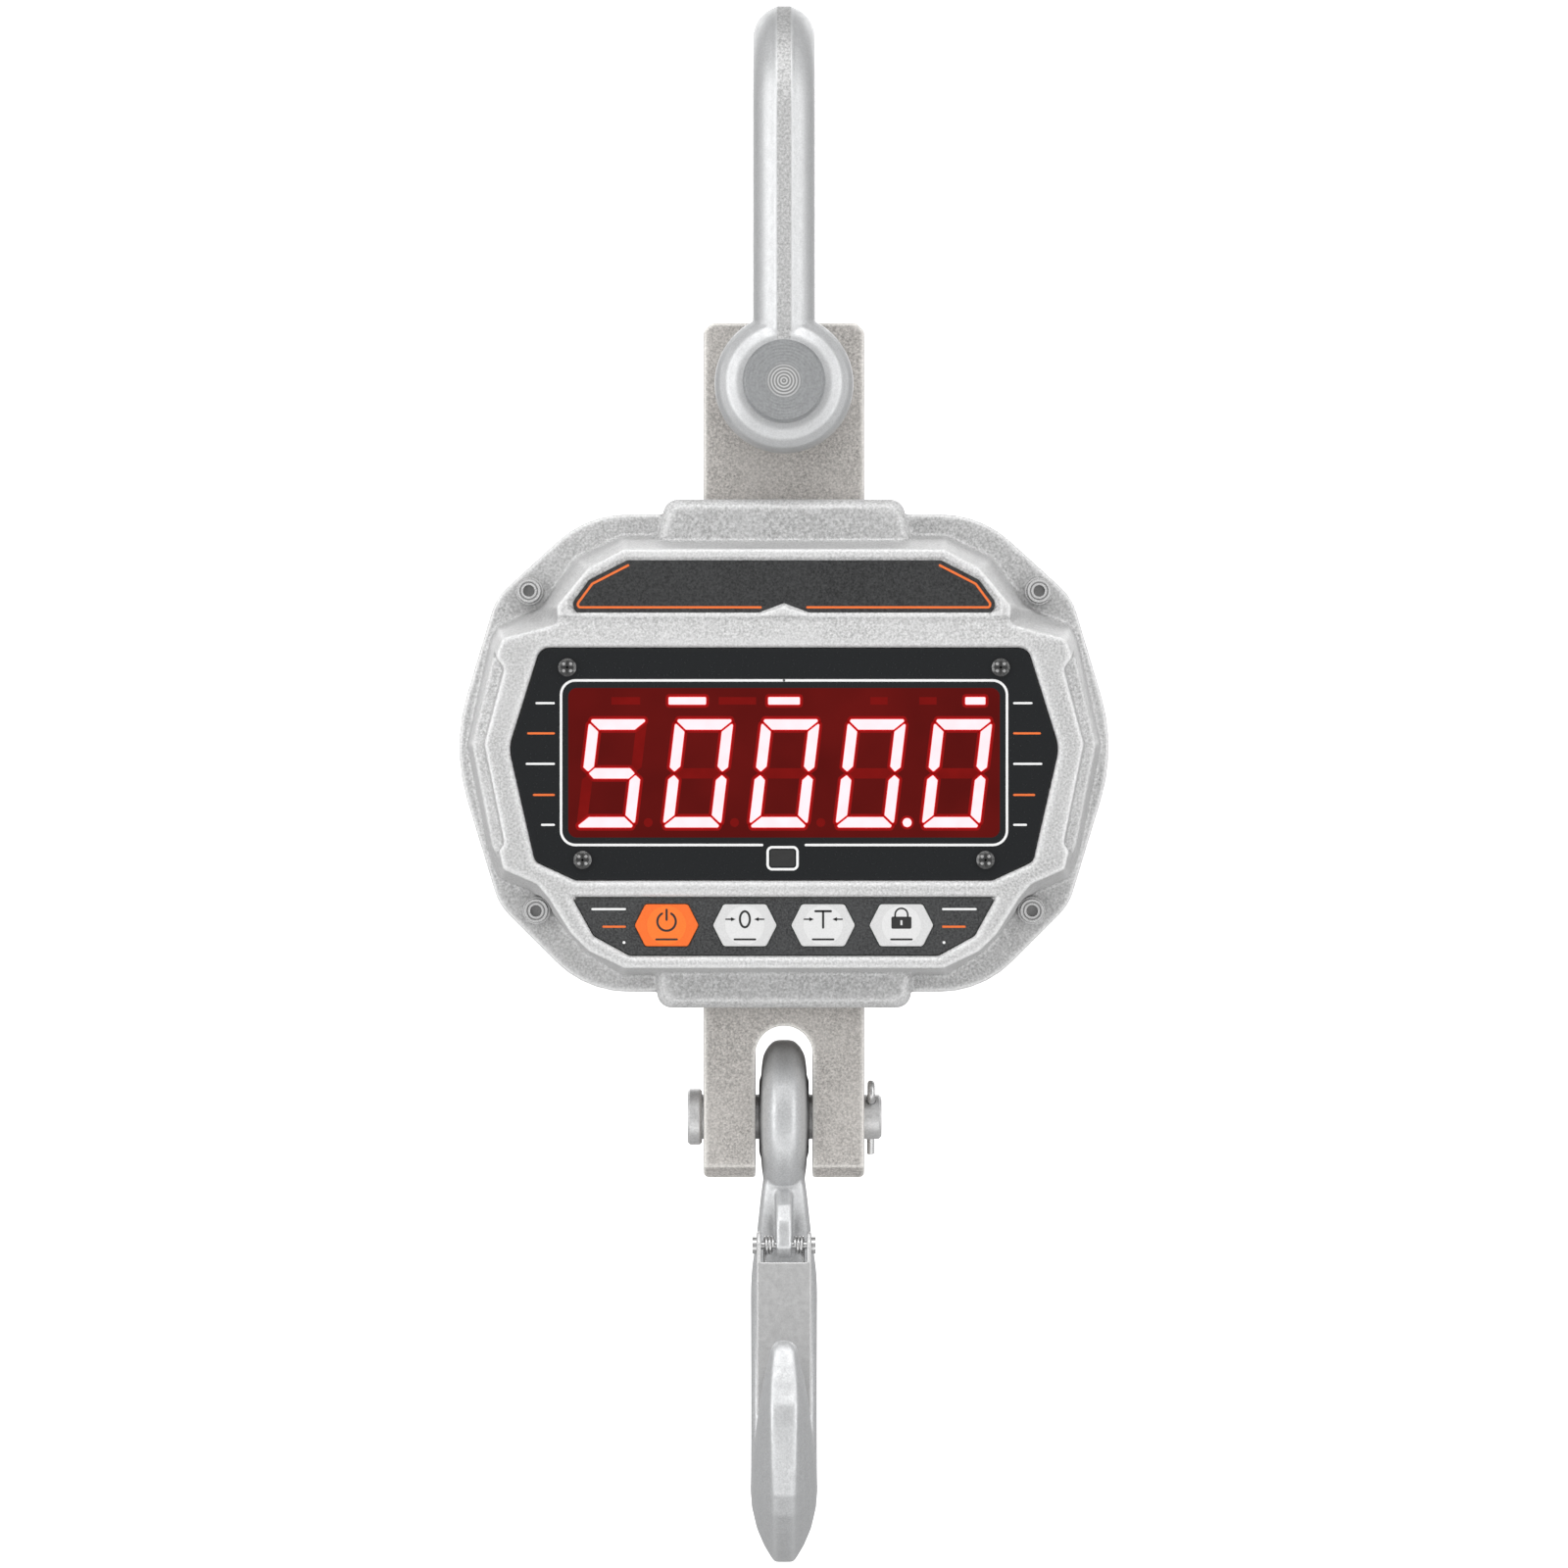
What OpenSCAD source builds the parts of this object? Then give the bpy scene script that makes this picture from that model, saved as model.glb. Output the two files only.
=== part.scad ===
// Hanging crane scale: a load cell in a cast two-part housing, hung from a shackle, with a latched eye hook below.
// Lengths are millimetres. The origin is the inside of the shackle's crown, where the scale hangs.
// +Z is up along the load line, and the display faces -Y.

/* [Housing] */
// Width of the housing across its flanges
housing_w = 231; // [228:1:290]
// Height of the housing across its flanges
housing_h = 170; // [168:1:210]
// Depth from the parting plane to the front bezel
front_depth = 60; // [58:1:72]
// Depth from the parting plane to the back face
rear_depth = 62; // [61:1:75]
// Casting wall
wall = 4; // [3:0.5:5]
// Thickness of each flange
flange_t = 8; // [6:0.5:12]
// Thickness of the gasket between the flanges
gasket_t = 2; // [1:0.5:3]
// Depth of each neck in front of and behind the parting plane
neck_depth = 30; // [28:1:36]
// Height of the upper neck above the flange
neck_rise = 4.5; // [3:0.5:10]
// Drop of the lower neck below the flange
neck_drop = 5; // [3:0.5:10]
// Thread size of the cover screws
cover_screw_d = 5; // [4:0.5:6]

/* [Load cell] */
// Width of the load cell
cell_w = 57; // [50:0.5:70]
// Thickness of the load cell
cell_t = 32; // [28:0.5:40]
// Height of the load cell's top face above the shackle pin
cell_top = 22.5; // [20:0.5:30]
// Drop of the load cell's bottom face below the hook pin
cell_bottom = 21; // [18:0.5:28]
// Rubber between the load cell and each neck
seal_t = 4; // [3:0.5:6]

/* [Shackle] */
// Diameter of the bow's bar
bar_d = 22; // [18:0.5:28]
// Clearance on each side between the shackle's ears and the load cell
jaw_gap = 2; // [1:0.5:4]
// Diameter of the shackle pin
shackle_pin_d = 25; // [20:0.5:30]
// Wall of each ear around its bore
ear_wall = 12; // [9:0.5:16]
// Distance from the shackle pin's axis up to the inside of the crown
shackle_reach = 114.5; // [100:0.5:150]
// Height of the shackle pin's axis above the upper neck
pin_above_neck = 40.5; // [38:0.5:60]

/* [Hook] */
// Diameter of the hook pin
hook_pin_d = 16; // [14:0.5:20]
// Distance of the hook pin's axis below the lower neck
pin_below_neck = 39.8; // [38:0.5:60]
// Width of the hook's eye across its bosses
eye_t = 17.8; // [15:0.1:24]
// Radial thickness of the eye around its bore
eye_wall = 19.5; // [16:0.5:24]
// Clearance on each side between the eye's bosses and the load cell's slot
slot_gap = 1.3; // [0.8:0.1:3]
// Angle at which the empty hook hangs from its pin
hook_tilt = 5.7; // [0:0.1:10]
// Width of the latch
latch_w = 19.2; // [18:0.1:22]
// Sheet thickness of the latch
latch_t = 1.5; // [1:0.1:2]

/* [Display and keys] */
// Distance between the digits' centres
digit_pitch = 30; // [28:0.5:34]
// Height of one digit module
module_h = 52; // [48:0.5:56]
// Thickness of the display window
window_t = 2; // [1.5:0.1:3]
// Depth of the window's front face below the bezel
window_sink = 1; // [0.5:0.1:2]
// Distance between the keys' centres
key_pitch = 27.2; // [24:0.1:30]
// Width of one key across its points
key_w = 22.2; // [18:0.1:24]
// Height of one key
key_h = 14.6; // [12:0.1:16]
// Travel of each key
key_travel = 0.5; // [0.3:0.1:1]

/* [Battery] */
// Length of the battery
battery_l = 134; // [100:1:140]
// Height of the battery case
battery_h = 60; // [40:1:62]
// Thickness of the battery
battery_t = 34; // [25:0.5:34]

/* [Hidden] */
$fn = 48;

// Clearances
bore_gap = 0.3;      // a pin in its bore, on the radius
screw_gap = 0.25;    // a screw in its clearance hole, on the radius
thread_gap = 0.03;   // a screw in its tapped hole, on the radius
seat_gap = 0.3;      // a panel in its recess, on each side
part_gap = 0.2;      // loose parts that lie side by side
cut = 1;             // how far a cutting shape runs past a face
sink = 1;            // how far a joined shape runs into its neighbour

// Heights along the load line
hh = housing_h / 2;
hw = housing_w / 2;
pin_z = -shackle_reach;
body_z = pin_z - pin_above_neck - neck_rise - hh;
hook_z = body_z - hh - neck_drop - pin_below_neck;
cell_top_z = pin_z + cell_top;
cell_bottom_z = hook_z - cell_bottom;

// Depths
front_y = -front_depth;
parting = gasket_t / 2;
flange_y = parting + flange_t;
front_wall_y = front_y + 2 * wall;
recess_y = front_y + wall;
rear_wall_y = rear_depth - wall;
neck_in_x = cell_w / 2 + seal_t;
neck_in_y = cell_t / 2 + seal_t;

// Shackle
ear_t = bar_d + 1;
jaw = cell_t + 2 * jaw_gap;
leg_y = (jaw + ear_t) / 2;
ear_r = shackle_pin_d / 2 + ear_wall;
ear_out = jaw / 2 + ear_t;
shackle_head_r = shackle_pin_d / 2 + 2;
shackle_head_t = 6;
flash_w = 5.6;
shackle_cotter_d = 5;
shackle_washer_t = 2.5;
shackle_cotter_y = ear_out + part_gap + shackle_washer_t + shackle_cotter_d / 2 + 0.5;
shackle_pin_end = shackle_cotter_y + 5;

// Load cell details
cell_half_w = cell_w / 2;
cell_half_t = cell_t / 2;
cell_top_cut = 3;
cell_toe_cut = 5;
cell_foot_cut = 1.2;
cell_edge = 0.8;
gauge_pocket_r = 15;
gauge_pocket_d = 9;
gauge_cover_t = 2;
gauge_cover_lap = 2;
gauge_size = [8, 0.4, 6];
gauge_x = 6;
cell_screw_d = 5;
cell_screw_x = 18;
cell_screw_z = body_z + hh - 2.5;
cell_screw_grip = 10;
seal_h = 10;
seal_z = [body_z + hh - 20, body_z - hh - 4];
cable_d = 3;
cable_turn = 6;
cable_x = cell_w / 2 + 11;
cable_y = 5 - cell_t / 2;
connector_h = 5;

// Hook pin
slot_w = eye_t + 2 * slot_gap;
hook_head_r = hook_pin_d / 2 + 2;
hook_head_t = 5;
hook_head_gap = 0.8;
hook_cotter_d = 3.2;
hook_cotter_x = cell_w / 2 + hook_cotter_d / 2 + 0.9;
hook_pin_end = hook_cotter_x + 3.8;
hook_cotter_lean = 42;
head_chamfer = 0.8;
slot_top = hook_pin_d / 2 + eye_wall + 5.5;

// Latch hinge, from the hook pin's axis
latch_y = -15;
latch_z = -46.2;
latch_pin_d = 3;
lug_t = 5.6;
latch_lean = 3.2;
latch_len = 60;
rivet_t = 1.5;
spring_wire = 1.1;
spring_r = latch_pin_d / 2 + 0.4 + spring_wire / 2;
spring_turns = 3;
spring_leg = 26;

// Housing outlines: the right side from top to bottom, as [x, z] about the housing's centre
flange_side = [
    [hw - 45.5, hh], [hw - 13, hh - 29.5], [hw + 3, 2], [hw - 14, 31 - hh], [hw - 45, -hh]
];
flange_round = [36, 20, 64, 20, 36];
skirt_side = [
    [hw - 58, hh - 7.7], [hw - 41.2, hh - 15.6], [hw - 29.3, hh - 32.8], [hw - 26.1, hh - 34.5],
    [hw - 13.5, hh - 40], [hw - 11.3, hh - 44], [hw - 9.5, hh - 52], [hw - 2.9, 3],
    [hw - 10, 52 - hh], [hw - 12.3, 44 - hh], [hw - 14.5, 40.5 - hh], [hw - 25.3, 36 - hh],
    [hw - 31, 31 - hh], [hw - 38, 21.7 - hh], [hw - 44.4, 14.6 - hh], [hw - 57.9, 6.2 - hh]
];
bezel_side = [
    [hw - 60, hh - 14.4], [hw - 47.6, hh - 21], [hw - 36.7, hh - 34.2], [hw - 37.5, hh - 40.5],
    [hw - 17.6, hh - 45.5], [hw - 15.3, hh - 52], [hw - 18.4, hh - 56], [hw - 11.4, 3],
    [hw - 18.4, 53.3 - hh], [hw - 16.5, 51 - hh], [hw - 18, 44.4 - hh], [hw - 29.7, 39.3 - hh],
    [hw - 33.6, 34.7 - hh], [hw - 41.4, 22.2 - hh], [hw - 47.6, 16 - hh], [hw - 60, 10.1 - hh]
];
casting_round = 1.5;
recess_chamfer = 1.2;
neck_edge = 4;
spot_r = cover_screw_d + 0.7;
// The side ledge: rings between the bezel and the skirt as [y, share, share at the ledge's three corners]
ledge_rings = [[-0.74 * front_depth, 0.3, 0.12], [-0.72 * front_depth, 0.34, 0.62]];
ledge_corners = [6, 7, 8];
// The channel below the label's raised frame, from its step down to the window's frame
channel_z = [hh - 37.2, hh - 38.4, hh - 46];
channel_depth = 1.6;
upper_neck_side = [[41.5, hh + neck_rise], [45.3, hh - 10], [45.3, hh - 24]];
lower_neck_side = [[45.3, 24 - hh], [45.3, 7 - hh], [44.5, -hh - neck_drop]];
neck_round = 5;

// Window, label and keypad outlines, in the same form
window_side = [[hw - 31, hh - 48.9], [hw - 20.2, 1.6], [hw - 29.2, 47.2 - hh], [hw - 43.3, 40.7 - hh]];
window_round = [4, 12, 3, 2];
label_side = [[hw - 60.2, hh - 18.3], [hw - 47, hh - 25.1], [hw - 40.5, hh - 33.9], [hw - 43, hh - 36.3]];
label_round = [0, 1.5, 2.2, 1.2];
label_notch = [8.7, 3.3];
keypad_side = [[hw - 42.3, 34.4 - hh], [hw - 49.5, 21.4 - hh], [hw - 61.9, 14.6 - hh]];
window_mid_z = (window_side[0][1] + window_side[3][1]) / 2;
window_screw_d = 3;
window_screw_grip = 3;
window_screw_x = [hw - 40.2, hw - 45.5];
window_screw_z = [hh - 55.5, 47.6 - hh];
cover_screw_x = [hw - 25, hw - 27.5];
cover_screw_z = [hh - 27.5, 29 - hh];
label_t = 0.6;
label_sink = 0.9;

// Keypad layers, from the recess floor forwards
key_z = 24.9 - hh;
key_x = [for (i = [0:3]) (i - 1.5) * key_pitch];
keypad_board_t = 1.2;
dome_t = 0.4;
film_t = 0.5;
key_t = 1.3;
film_sink = 1.1;
film_front_y = front_y + film_sink;
film_back_y = film_front_y + film_t;
keypad_board_y = recess_y - keypad_board_t;
dome_y = keypad_board_y - dome_t;
key_back_y = dome_y - key_travel - 0.05;
key_round = 1.3;
dome_r = 5;
tail_w = 14;
tail_z = key_z + 6;
tail_slot = [tail_w + 2, 2.4];
tail_t = 0.3;

// Display stack, from the front wall backwards
window_front_y = front_y + window_sink;
window_back_y = window_front_y + window_t;
digit_count = 5;
digits_w = digit_count * digit_pitch;
display_z = window_mid_z - 0.2;
opening_w = digits_w + 6;
opening_h = module_h + 4;
module_front_y = recess_y + 1;
module_d = 12;
board_y = module_front_y + module_d;
board_t = 1.6;
display_board_w = opening_w + 2;
display_board_top = display_z + opening_h / 2 + 10;
display_board_bottom = display_z - opening_h / 2 - 13;
display_screw_x = display_board_w / 2 - 5;
spacer_h = 9;
main_board_y = board_y + board_t + spacer_h;
main_board_w = 124;
main_board_h = 56;
spacer_x = main_board_w / 2 - 5;
spacer_z = main_board_h / 2 - 5;
spacer_r = 2.8;
board_screw_d = 2.5;
board_post_r = 3.2;
board_post_z = [display_board_top - 5, display_board_bottom + 5];
ir_z = display_z - opening_h / 2 - 6;
ir_hole = [12, 8];

// Battery bay
battery_drop = 2;
tray_wall = 2;
tray_y = cell_t / 2 + 1.5;
battery_z = -1;
battery_y = tray_y + tray_wall + 0.5;
battery_mid_z = battery_z - battery_drop;
battery_top_z = battery_mid_z + battery_h / 2;
terminal_x = [battery_l / 2 - 12, battery_l / 2 - 26];
terminal_w = 4.8;
terminal_t = 0.8;
terminal_h = 6;
terminal_y = battery_y + 8.4;
lead_d = 2;
lead_turn = 4;
lead_rise = 8;
bay_w = battery_l + 2 * part_gap + 4;
bay_h = battery_h + 10;
door_lap = 8;
door_t = 2.8;
door_gasket_t = 1;
door_w = bay_w + 2 * door_lap;
door_h = bay_h + 2 * door_lap;
door_sink = 0.3;
door_out_y = rear_depth - door_sink;
door_in_y = door_out_y - door_t;
door_seat_y = door_in_y - door_gasket_t;
door_screw_x = door_w / 2 - 4;
door_screw_z = door_h / 2 - 4;
door_screw_d = 3;
door_screw_sink = 1.9;
door_head_r = 3.5;
rating_label_size = [70, 34, 0.15];

// Charging socket on the back
socket_x = 60;
socket_z = 20.5 - hh;
socket_r = 5.5;
socket_depth = 11;
socket_bore_r = 2.8;
cap_r = 8;
cap_t = 2.5;
cap_sink = 0.4;
cap_plug_r = 2.6;

function unit(v) = v / norm(v);
function mirrored(side) = concat(side, [for (i = [len(side) - 1:-1:0]) [-side[i][0], side[i][1]]]);

// The arc that rounds corner b of the path a, b, c
function corner(a, b, c, r, steps = 5) =
    let (u = unit(a - b), v = unit(c - b), half = acos(u * v) / 2,
         centre = b + unit(u + v) * r / sin(half),
         start = b + u * r / tan(half) - centre, end = b + v * r / tan(half) - centre)
    [for (i = [0:steps]) let (t = i / steps, d = unit(start * (1 - t) + end * t)) centre + d * r];
function rounded(points, radii, steps = 5) =
    let (n = len(points))
    [for (i = [0:n - 1])
        let (r = is_list(radii) ? radii[i] : radii)
        each r == 0 ? [points[i]]
                    : corner(points[(i + n - 1) % n], points[i], points[(i + 1) % n], r, steps)];
function round_list(radii) = concat(radii, [for (i = [len(radii) - 1:-1:0]) radii[i]]);

// A polygon with each edge moved inwards by d; its points run clockwise seen from the front
function edge_normal(a, b) = let (d = unit(b - a)) [d[1], -d[0]];
function inset(points, d) =
    let (n = len(points))
    [for (i = [0:n - 1])
        let (p = points[i],
             m = edge_normal(points[(i + n - 1) % n], p), k = edge_normal(p, points[(i + 1) % n]))
        p + (m + k) * d / (1 + m * k)];

flange_outline = rounded(mirrored(flange_side), round_list(flange_round));
skirt_outline = rounded(mirrored(skirt_side), casting_round, 2);
bezel_outline = rounded(mirrored(bezel_side), casting_round, 2);
function ledge_side(share, side_share) =
    [for (i = [0:len(bezel_side) - 1])
        let (t = len(search(i, ledge_corners)) > 0 ? side_share : share)
        bezel_side[i] * (1 - t) + skirt_side[i] * t];
cavity_outline = inset(mirrored(bezel_side), wall + 1);
window_outline = rounded(mirrored(window_side), round_list(window_round));
function label_foot() =
    let (z = label_side[3][1])
    [[label_notch[0], z], [0, z + label_notch[1]], [-label_notch[0], z]];
label_outline = rounded(
    concat(label_side, label_foot(), [for (i = [3:-1:0]) [-label_side[i][0], label_side[i][1]]]),
    concat(label_round, [0, 0, 0], [for (i = [3:-1:0]) label_round[i]]), 4);
keypad_outline = mirrored(keypad_side);

function key_outline(grow = 0) =
    let (w = key_w / 2, h = key_h / 2, flat = key_w / 3)
    rounded(inset([[flat, h], [w, 0], [flat, -h], [-flat, -h], [-w, 0], [-flat, h]], -grow), key_round, 3);

function box_outline(w, h, z = 0, x = 0) =
    [[x + w / 2, z + h / 2], [x + w / 2, z - h / 2], [x - w / 2, z - h / 2], [x - w / 2, z + h / 2]];

function inset_neck(side) = [for (p = side) [p[0] - 1.5, p[1] - sign(p[1]) * 1.5]];

module slab(points, y0, y1) {
    translate([0, y1, 0]) rotate([90, 0, 0]) linear_extrude(y1 - y0) polygon(points);
}

// A solid through a stack of rings, each [y, outline], with as many points in every outline
module stack(rings) {
    n = len(rings[0][1]);
    last = len(rings) - 1;
    points = [for (r = rings) each [for (p = r[1]) [p[0], r[0], p[1]]]];
    sides = [for (k = [0:last - 1], i = [0:n - 1])
        let (a = k * n + i, b = k * n + (i + 1) % n)
        each [[a, b + n, b], [a, a + n, b + n]]];
    polyhedron(points, concat([[for (i = [0:n - 1]) i]],
                              [[for (i = [n - 1:-1:0]) last * n + i]], sides), convexity = 6);
}

// A slab of the given half outline whose edge is rounded where it meets the face at y_face
module edged_slab(side, radii, y_face, y_back, r) {
    way = sign(y_back - y_face);
    rings = concat(
        [for (a = [0, 25, 50, 70, 90])
            [y_face + way * (a == 0 ? -cut : r * (1 - cos(a))),
             rounded(inset(mirrored(side), r * (1 - sin(a))), radii, 4)]],
        [[y_back, rounded(mirrored(side), radii, 4)]]);
    difference() {
        stack(way > 0 ? rings : [for (i = [len(rings) - 1:-1:0]) rings[i]]);
        block([-2 * hw, 2 * hw], way > 0 ? [y_face - 2 * cut, y_face] : [y_face, y_face + 2 * cut],
              [-2 * hh, 2 * hh]);
    }
}

// A recess in the front face for a panel of the given outline, with its rim chamfered
module recess(outline, floor_y) {
    stack([[front_y - cut, inset(outline, -seat_gap - recess_chamfer - cut)],
           [front_y + recess_chamfer, inset(outline, -seat_gap)],
           [floor_y, inset(outline, -seat_gap)]]);
}

module ycyl(r, y0, y1, x = 0, z = 0) {
    translate([x, y1, z]) rotate([90, 0, 0]) cylinder(h = y1 - y0, r = r);
}

module xcyl(r, x0, x1, y = 0, z = 0) {
    translate([x0, y, z]) rotate([0, 90, 0]) cylinder(h = x1 - x0, r = r);
}

module block(x, y, z) {
    translate([x[0], y[0], z[0]]) cube([x[1] - x[0], y[1] - y[0], z[1] - z[0]]);
}

module in_housing() {
    translate([0, 0, body_z]) children();
}

module at_hook() {
    translate([0, 0, hook_z]) rotate([-hook_tilt, 0, 0]) children();
}

// A disc from x0 to x1 on the X axis with both rims chamfered
module rimmed_disc(r, x0, x1, c) {
    translate([x0, 0, 0]) rotate([0, 90, 0]) {
        cylinder(h = c, r1 = r - c, r2 = r);
        translate([0, 0, c]) cylinder(h = x1 - x0 - 2 * c, r = r);
        translate([0, 0, x1 - x0 - c]) cylinder(h = c, r1 = r, r2 = r - c);
    }
}

// A split pin along Z through a cross hole of length grip, with its eye above and its legs bent below
module split_pin(d, grip) {
    eye_r = d * 0.95;
    wire_r = d * 0.4;
    leg = d * 2.2;
    spread = 28;
    cylinder(h = grip + d, r = d / 2, center = true);
    translate([0, 0, grip / 2 + eye_r + wire_r]) rotate([90, 0, 90])
        rotate_extrude() translate([eye_r, 0]) circle(r = wire_r);
    for (s = [-1, 1])
        translate([0, 0, -grip / 2 - d * 0.3]) rotate([s * spread, 0, 0])
            translate([0, s * d * 0.12, -leg]) cylinder(h = leg, r = wire_r);
}

module socket_screw(d, head_y, length, x, z) {
    difference() {
        union() {
            ycyl(d * 0.85, head_y - d, head_y, x, z);
            ycyl(d / 2, head_y - cut, head_y + length, x, z);
        }
        translate([x, head_y - d * 0.4, z]) rotate([90, 0, 0]) cylinder(h = d, r = d * 0.46, $fn = 6);
    }
}

// A pan head screw with a cross recess; its head faces -Y when way is -1 and +Y when way is 1
module pan_screw(d, head_y, length, x, z, way = -1) {
    translate([x, head_y, z]) rotate([way < 0 ? 90 : -90, 0, 0]) difference() {
        union() {
            cylinder(h = d * 0.35, r = d * 1.05);
            translate([0, 0, d * 0.35]) cylinder(h = d * 0.25, r1 = d * 1.05, r2 = d * 0.75);
            translate([0, 0, -length]) cylinder(h = length + cut / 2, r = d / 2);
        }
        for (a = [0, 90])
            rotate([0, 0, a]) translate([-d * 0.5, -d * 0.1, d * 0.2]) cube([d, d * 0.2, d]);
    }
}

// ---- Shackle ----

module ear_disc(side) {
    edge = ear_t / 2 - 1.5;
    profile = rounded([[0, -ear_t / 2], [ear_r, -ear_t / 2], [ear_r, ear_t / 2], [0, ear_t / 2]],
                      [0.1, edge, edge, 0.1], 5);
    translate([0, side * leg_y, pin_z]) rotate([90, 0, 0]) rotate_extrude() polygon(profile);
}

// The bar's section, with the flash line left by the forging dies
module bar_section() {
    circle(d = bar_d);
    square([bar_d, flash_w], center = true);
}

module shackle_bow() {
    color("gainsboro") difference() {
        union() {
            translate([0, 0, -leg_y + bar_d / 2]) rotate([90, 0, 90])
                rotate_extrude(angle = 180) translate([leg_y, 0]) bar_section();
            for (s = [-1, 1]) {
                translate([0, s * leg_y, pin_z])
                    linear_extrude(-leg_y + bar_d / 2 - pin_z) rotate([0, 0, 90]) bar_section();
                ear_disc(s);
            }
        }
        ycyl(shackle_pin_d / 2 + bore_gap, -ear_out - cut, ear_out + cut, 0, pin_z);
        block([-ear_r, ear_r], [-jaw / 2, jaw / 2], [pin_z - ear_r - cut, pin_z + ear_r]);
    }
}

module shackle_pin() {
    head_y = -ear_out - part_gap;
    color("slategray") difference() {
        union() {
            ycyl(shackle_head_r, head_y - shackle_head_t + 1, head_y, 0, pin_z);
            translate([0, head_y - shackle_head_t + 1, pin_z]) rotate([90, 0, 0])
                cylinder(h = 1, r1 = shackle_head_r, r2 = shackle_head_r - 1);
            ycyl(shackle_pin_d / 2, head_y - cut, shackle_pin_end, 0, pin_z);
        }
        translate([0, shackle_cotter_y, pin_z]) rotate([0, 60, 0])
            cylinder(h = 2 * shackle_pin_d, r = shackle_cotter_d / 2 + part_gap, center = true);
    }
}

module shackle_pin_washer() {
    color("silver") difference() {
        ycyl(shackle_pin_d / 2 + 8, ear_out + part_gap, ear_out + part_gap + shackle_washer_t, 0, pin_z);
        ycyl(shackle_pin_d / 2 + bore_gap, ear_out - cut, shackle_pin_end, 0, pin_z);
    }
}

module shackle_pin_cotter() {
    color("silver") translate([0, shackle_cotter_y, pin_z]) rotate([0, 60, 0])
        rotate([0, 0, 90]) split_pin(shackle_cotter_d, shackle_pin_d);
}

// ---- Load cell ----

module load_cell() {
    half_w = cell_half_w;
    half_t = cell_half_t;
    length = cell_top_z - cell_bottom_z;
    side = [
        [half_w - cell_top_cut, cell_top_z], [half_w, cell_top_z - cell_top_cut],
        [half_w, cell_bottom_z + cell_foot_cut], [half_w - cell_foot_cut, cell_bottom_z]
    ];
    color("rosybrown") difference() {
        slab(mirrored(side), -half_t, half_t);
        // slot for the hook's eye
        block([-slot_w / 2, slot_w / 2], [-half_t - cut, half_t + cut],
              [cell_bottom_z - cut, hook_z + slot_top - slot_w / 2]);
        ycyl(slot_w / 2, -half_t - cut, half_t + cut, 0, hook_z + slot_top - slot_w / 2);
        // chamfered toes
        for (s = [-1, 1])
            translate([0, s * half_t, cell_bottom_z]) rotate([s * -45 + 90, 0, 0])
                cube([cell_w + 2 * cut, cell_toe_cut, cell_toe_cut * 1.2], center = true);
        // bores for the two pins
        ycyl(shackle_pin_d / 2 + bore_gap, -half_t - cut, half_t + cut, 0, pin_z);
        xcyl(hook_pin_d / 2 + bore_gap, -half_w - cut, half_w + cut, 0, hook_z);
        // gauge pockets, each with a seat for its cover, and the cable's way out
        for (s = [-1, 1]) {
            ycyl(gauge_pocket_r, s > 0 ? half_t - gauge_pocket_d : -half_t - cut,
                 s > 0 ? half_t + cut : gauge_pocket_d - half_t, 0, body_z);
            ycyl(gauge_pocket_r + gauge_cover_lap, s > 0 ? half_t - gauge_cover_t : -half_t - cut,
                 s > 0 ? half_t + cut : gauge_cover_t - half_t, 0, body_z);
        }
        xcyl(cable_d / 2 + thread_gap, -half_w - cut, 0, cable_y, body_z);
        // tapped holes for the housing's screws
        for (s = [-1, 1])
            ycyl(cell_screw_d / 2 + thread_gap, half_t - cell_screw_grip - 2, half_t + cut,
                 s * cell_screw_x, cell_screw_z);
        // sharp edges broken along both faces
        for (x = [-half_w, half_w], y = [-half_t, half_t])
            translate([x, y, (cell_top_z + cell_bottom_z) / 2]) rotate([0, 0, 45])
                cube([cell_edge, cell_edge, length + 2 * cut], center = true);
    }
}

module strain_gauges() {
    floor_y = cell_half_t - gauge_pocket_d;
    color("goldenrod") in_housing() for (s = [-1, 1], x = [-gauge_x, gauge_x])
        translate([x, s * (floor_y + gauge_size[1] / 2), 0]) cube(gauge_size, center = true);
}

module gauge_covers() {
    seat_y = cell_half_t - gauge_cover_t;
    color("lightgray") for (s = [-1, 1])
        in_housing() ycyl(gauge_pocket_r + gauge_cover_lap - part_gap / 2,
                          s > 0 ? seat_y : -cell_half_t, s > 0 ? cell_half_t : -seat_y);
}

module cell_mount_screws() {
    color("dimgray") for (s = [-1, 1])
        translate([0, neck_depth, 0]) mirror([0, 1, 0])
            socket_screw(cell_screw_d, 0, neck_depth - cell_half_t + cell_screw_grip,
                         s * cell_screw_x, cell_screw_z);
}

// A round lead as straight runs joined by quarter bends; path gives the corner points
module lead(path, d, turn) {
    for (i = [0:len(path) - 2]) {
        a = path[i];
        b = path[i + 1];
        u = unit(b - a);
        start = a + u * (i == 0 ? 0 : turn);
        run = norm(b - a) - (i == 0 ? 0 : turn) - (i == len(path) - 2 ? 0 : turn);
        translate(start) rotate([0, acos(u[2]), atan2(u[1], u[0])]) cylinder(h = run, r = d / 2);
    }
    for (i = [1:len(path) - 2]) {
        u = unit(path[i] - path[i - 1]);
        v = unit(path[i + 1] - path[i]);
        w = cross(u, v);
        centre = path[i] - u * turn + v * turn;
        multmatrix([[-v[0], u[0], w[0], centre[0]], [-v[1], u[1], w[1], centre[1]],
                    [-v[2], u[2], w[2], centre[2]], [0, 0, 0, 1]])
            rotate_extrude(angle = 90) translate([turn, 0]) circle(r = d / 2);
    }
}

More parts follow.
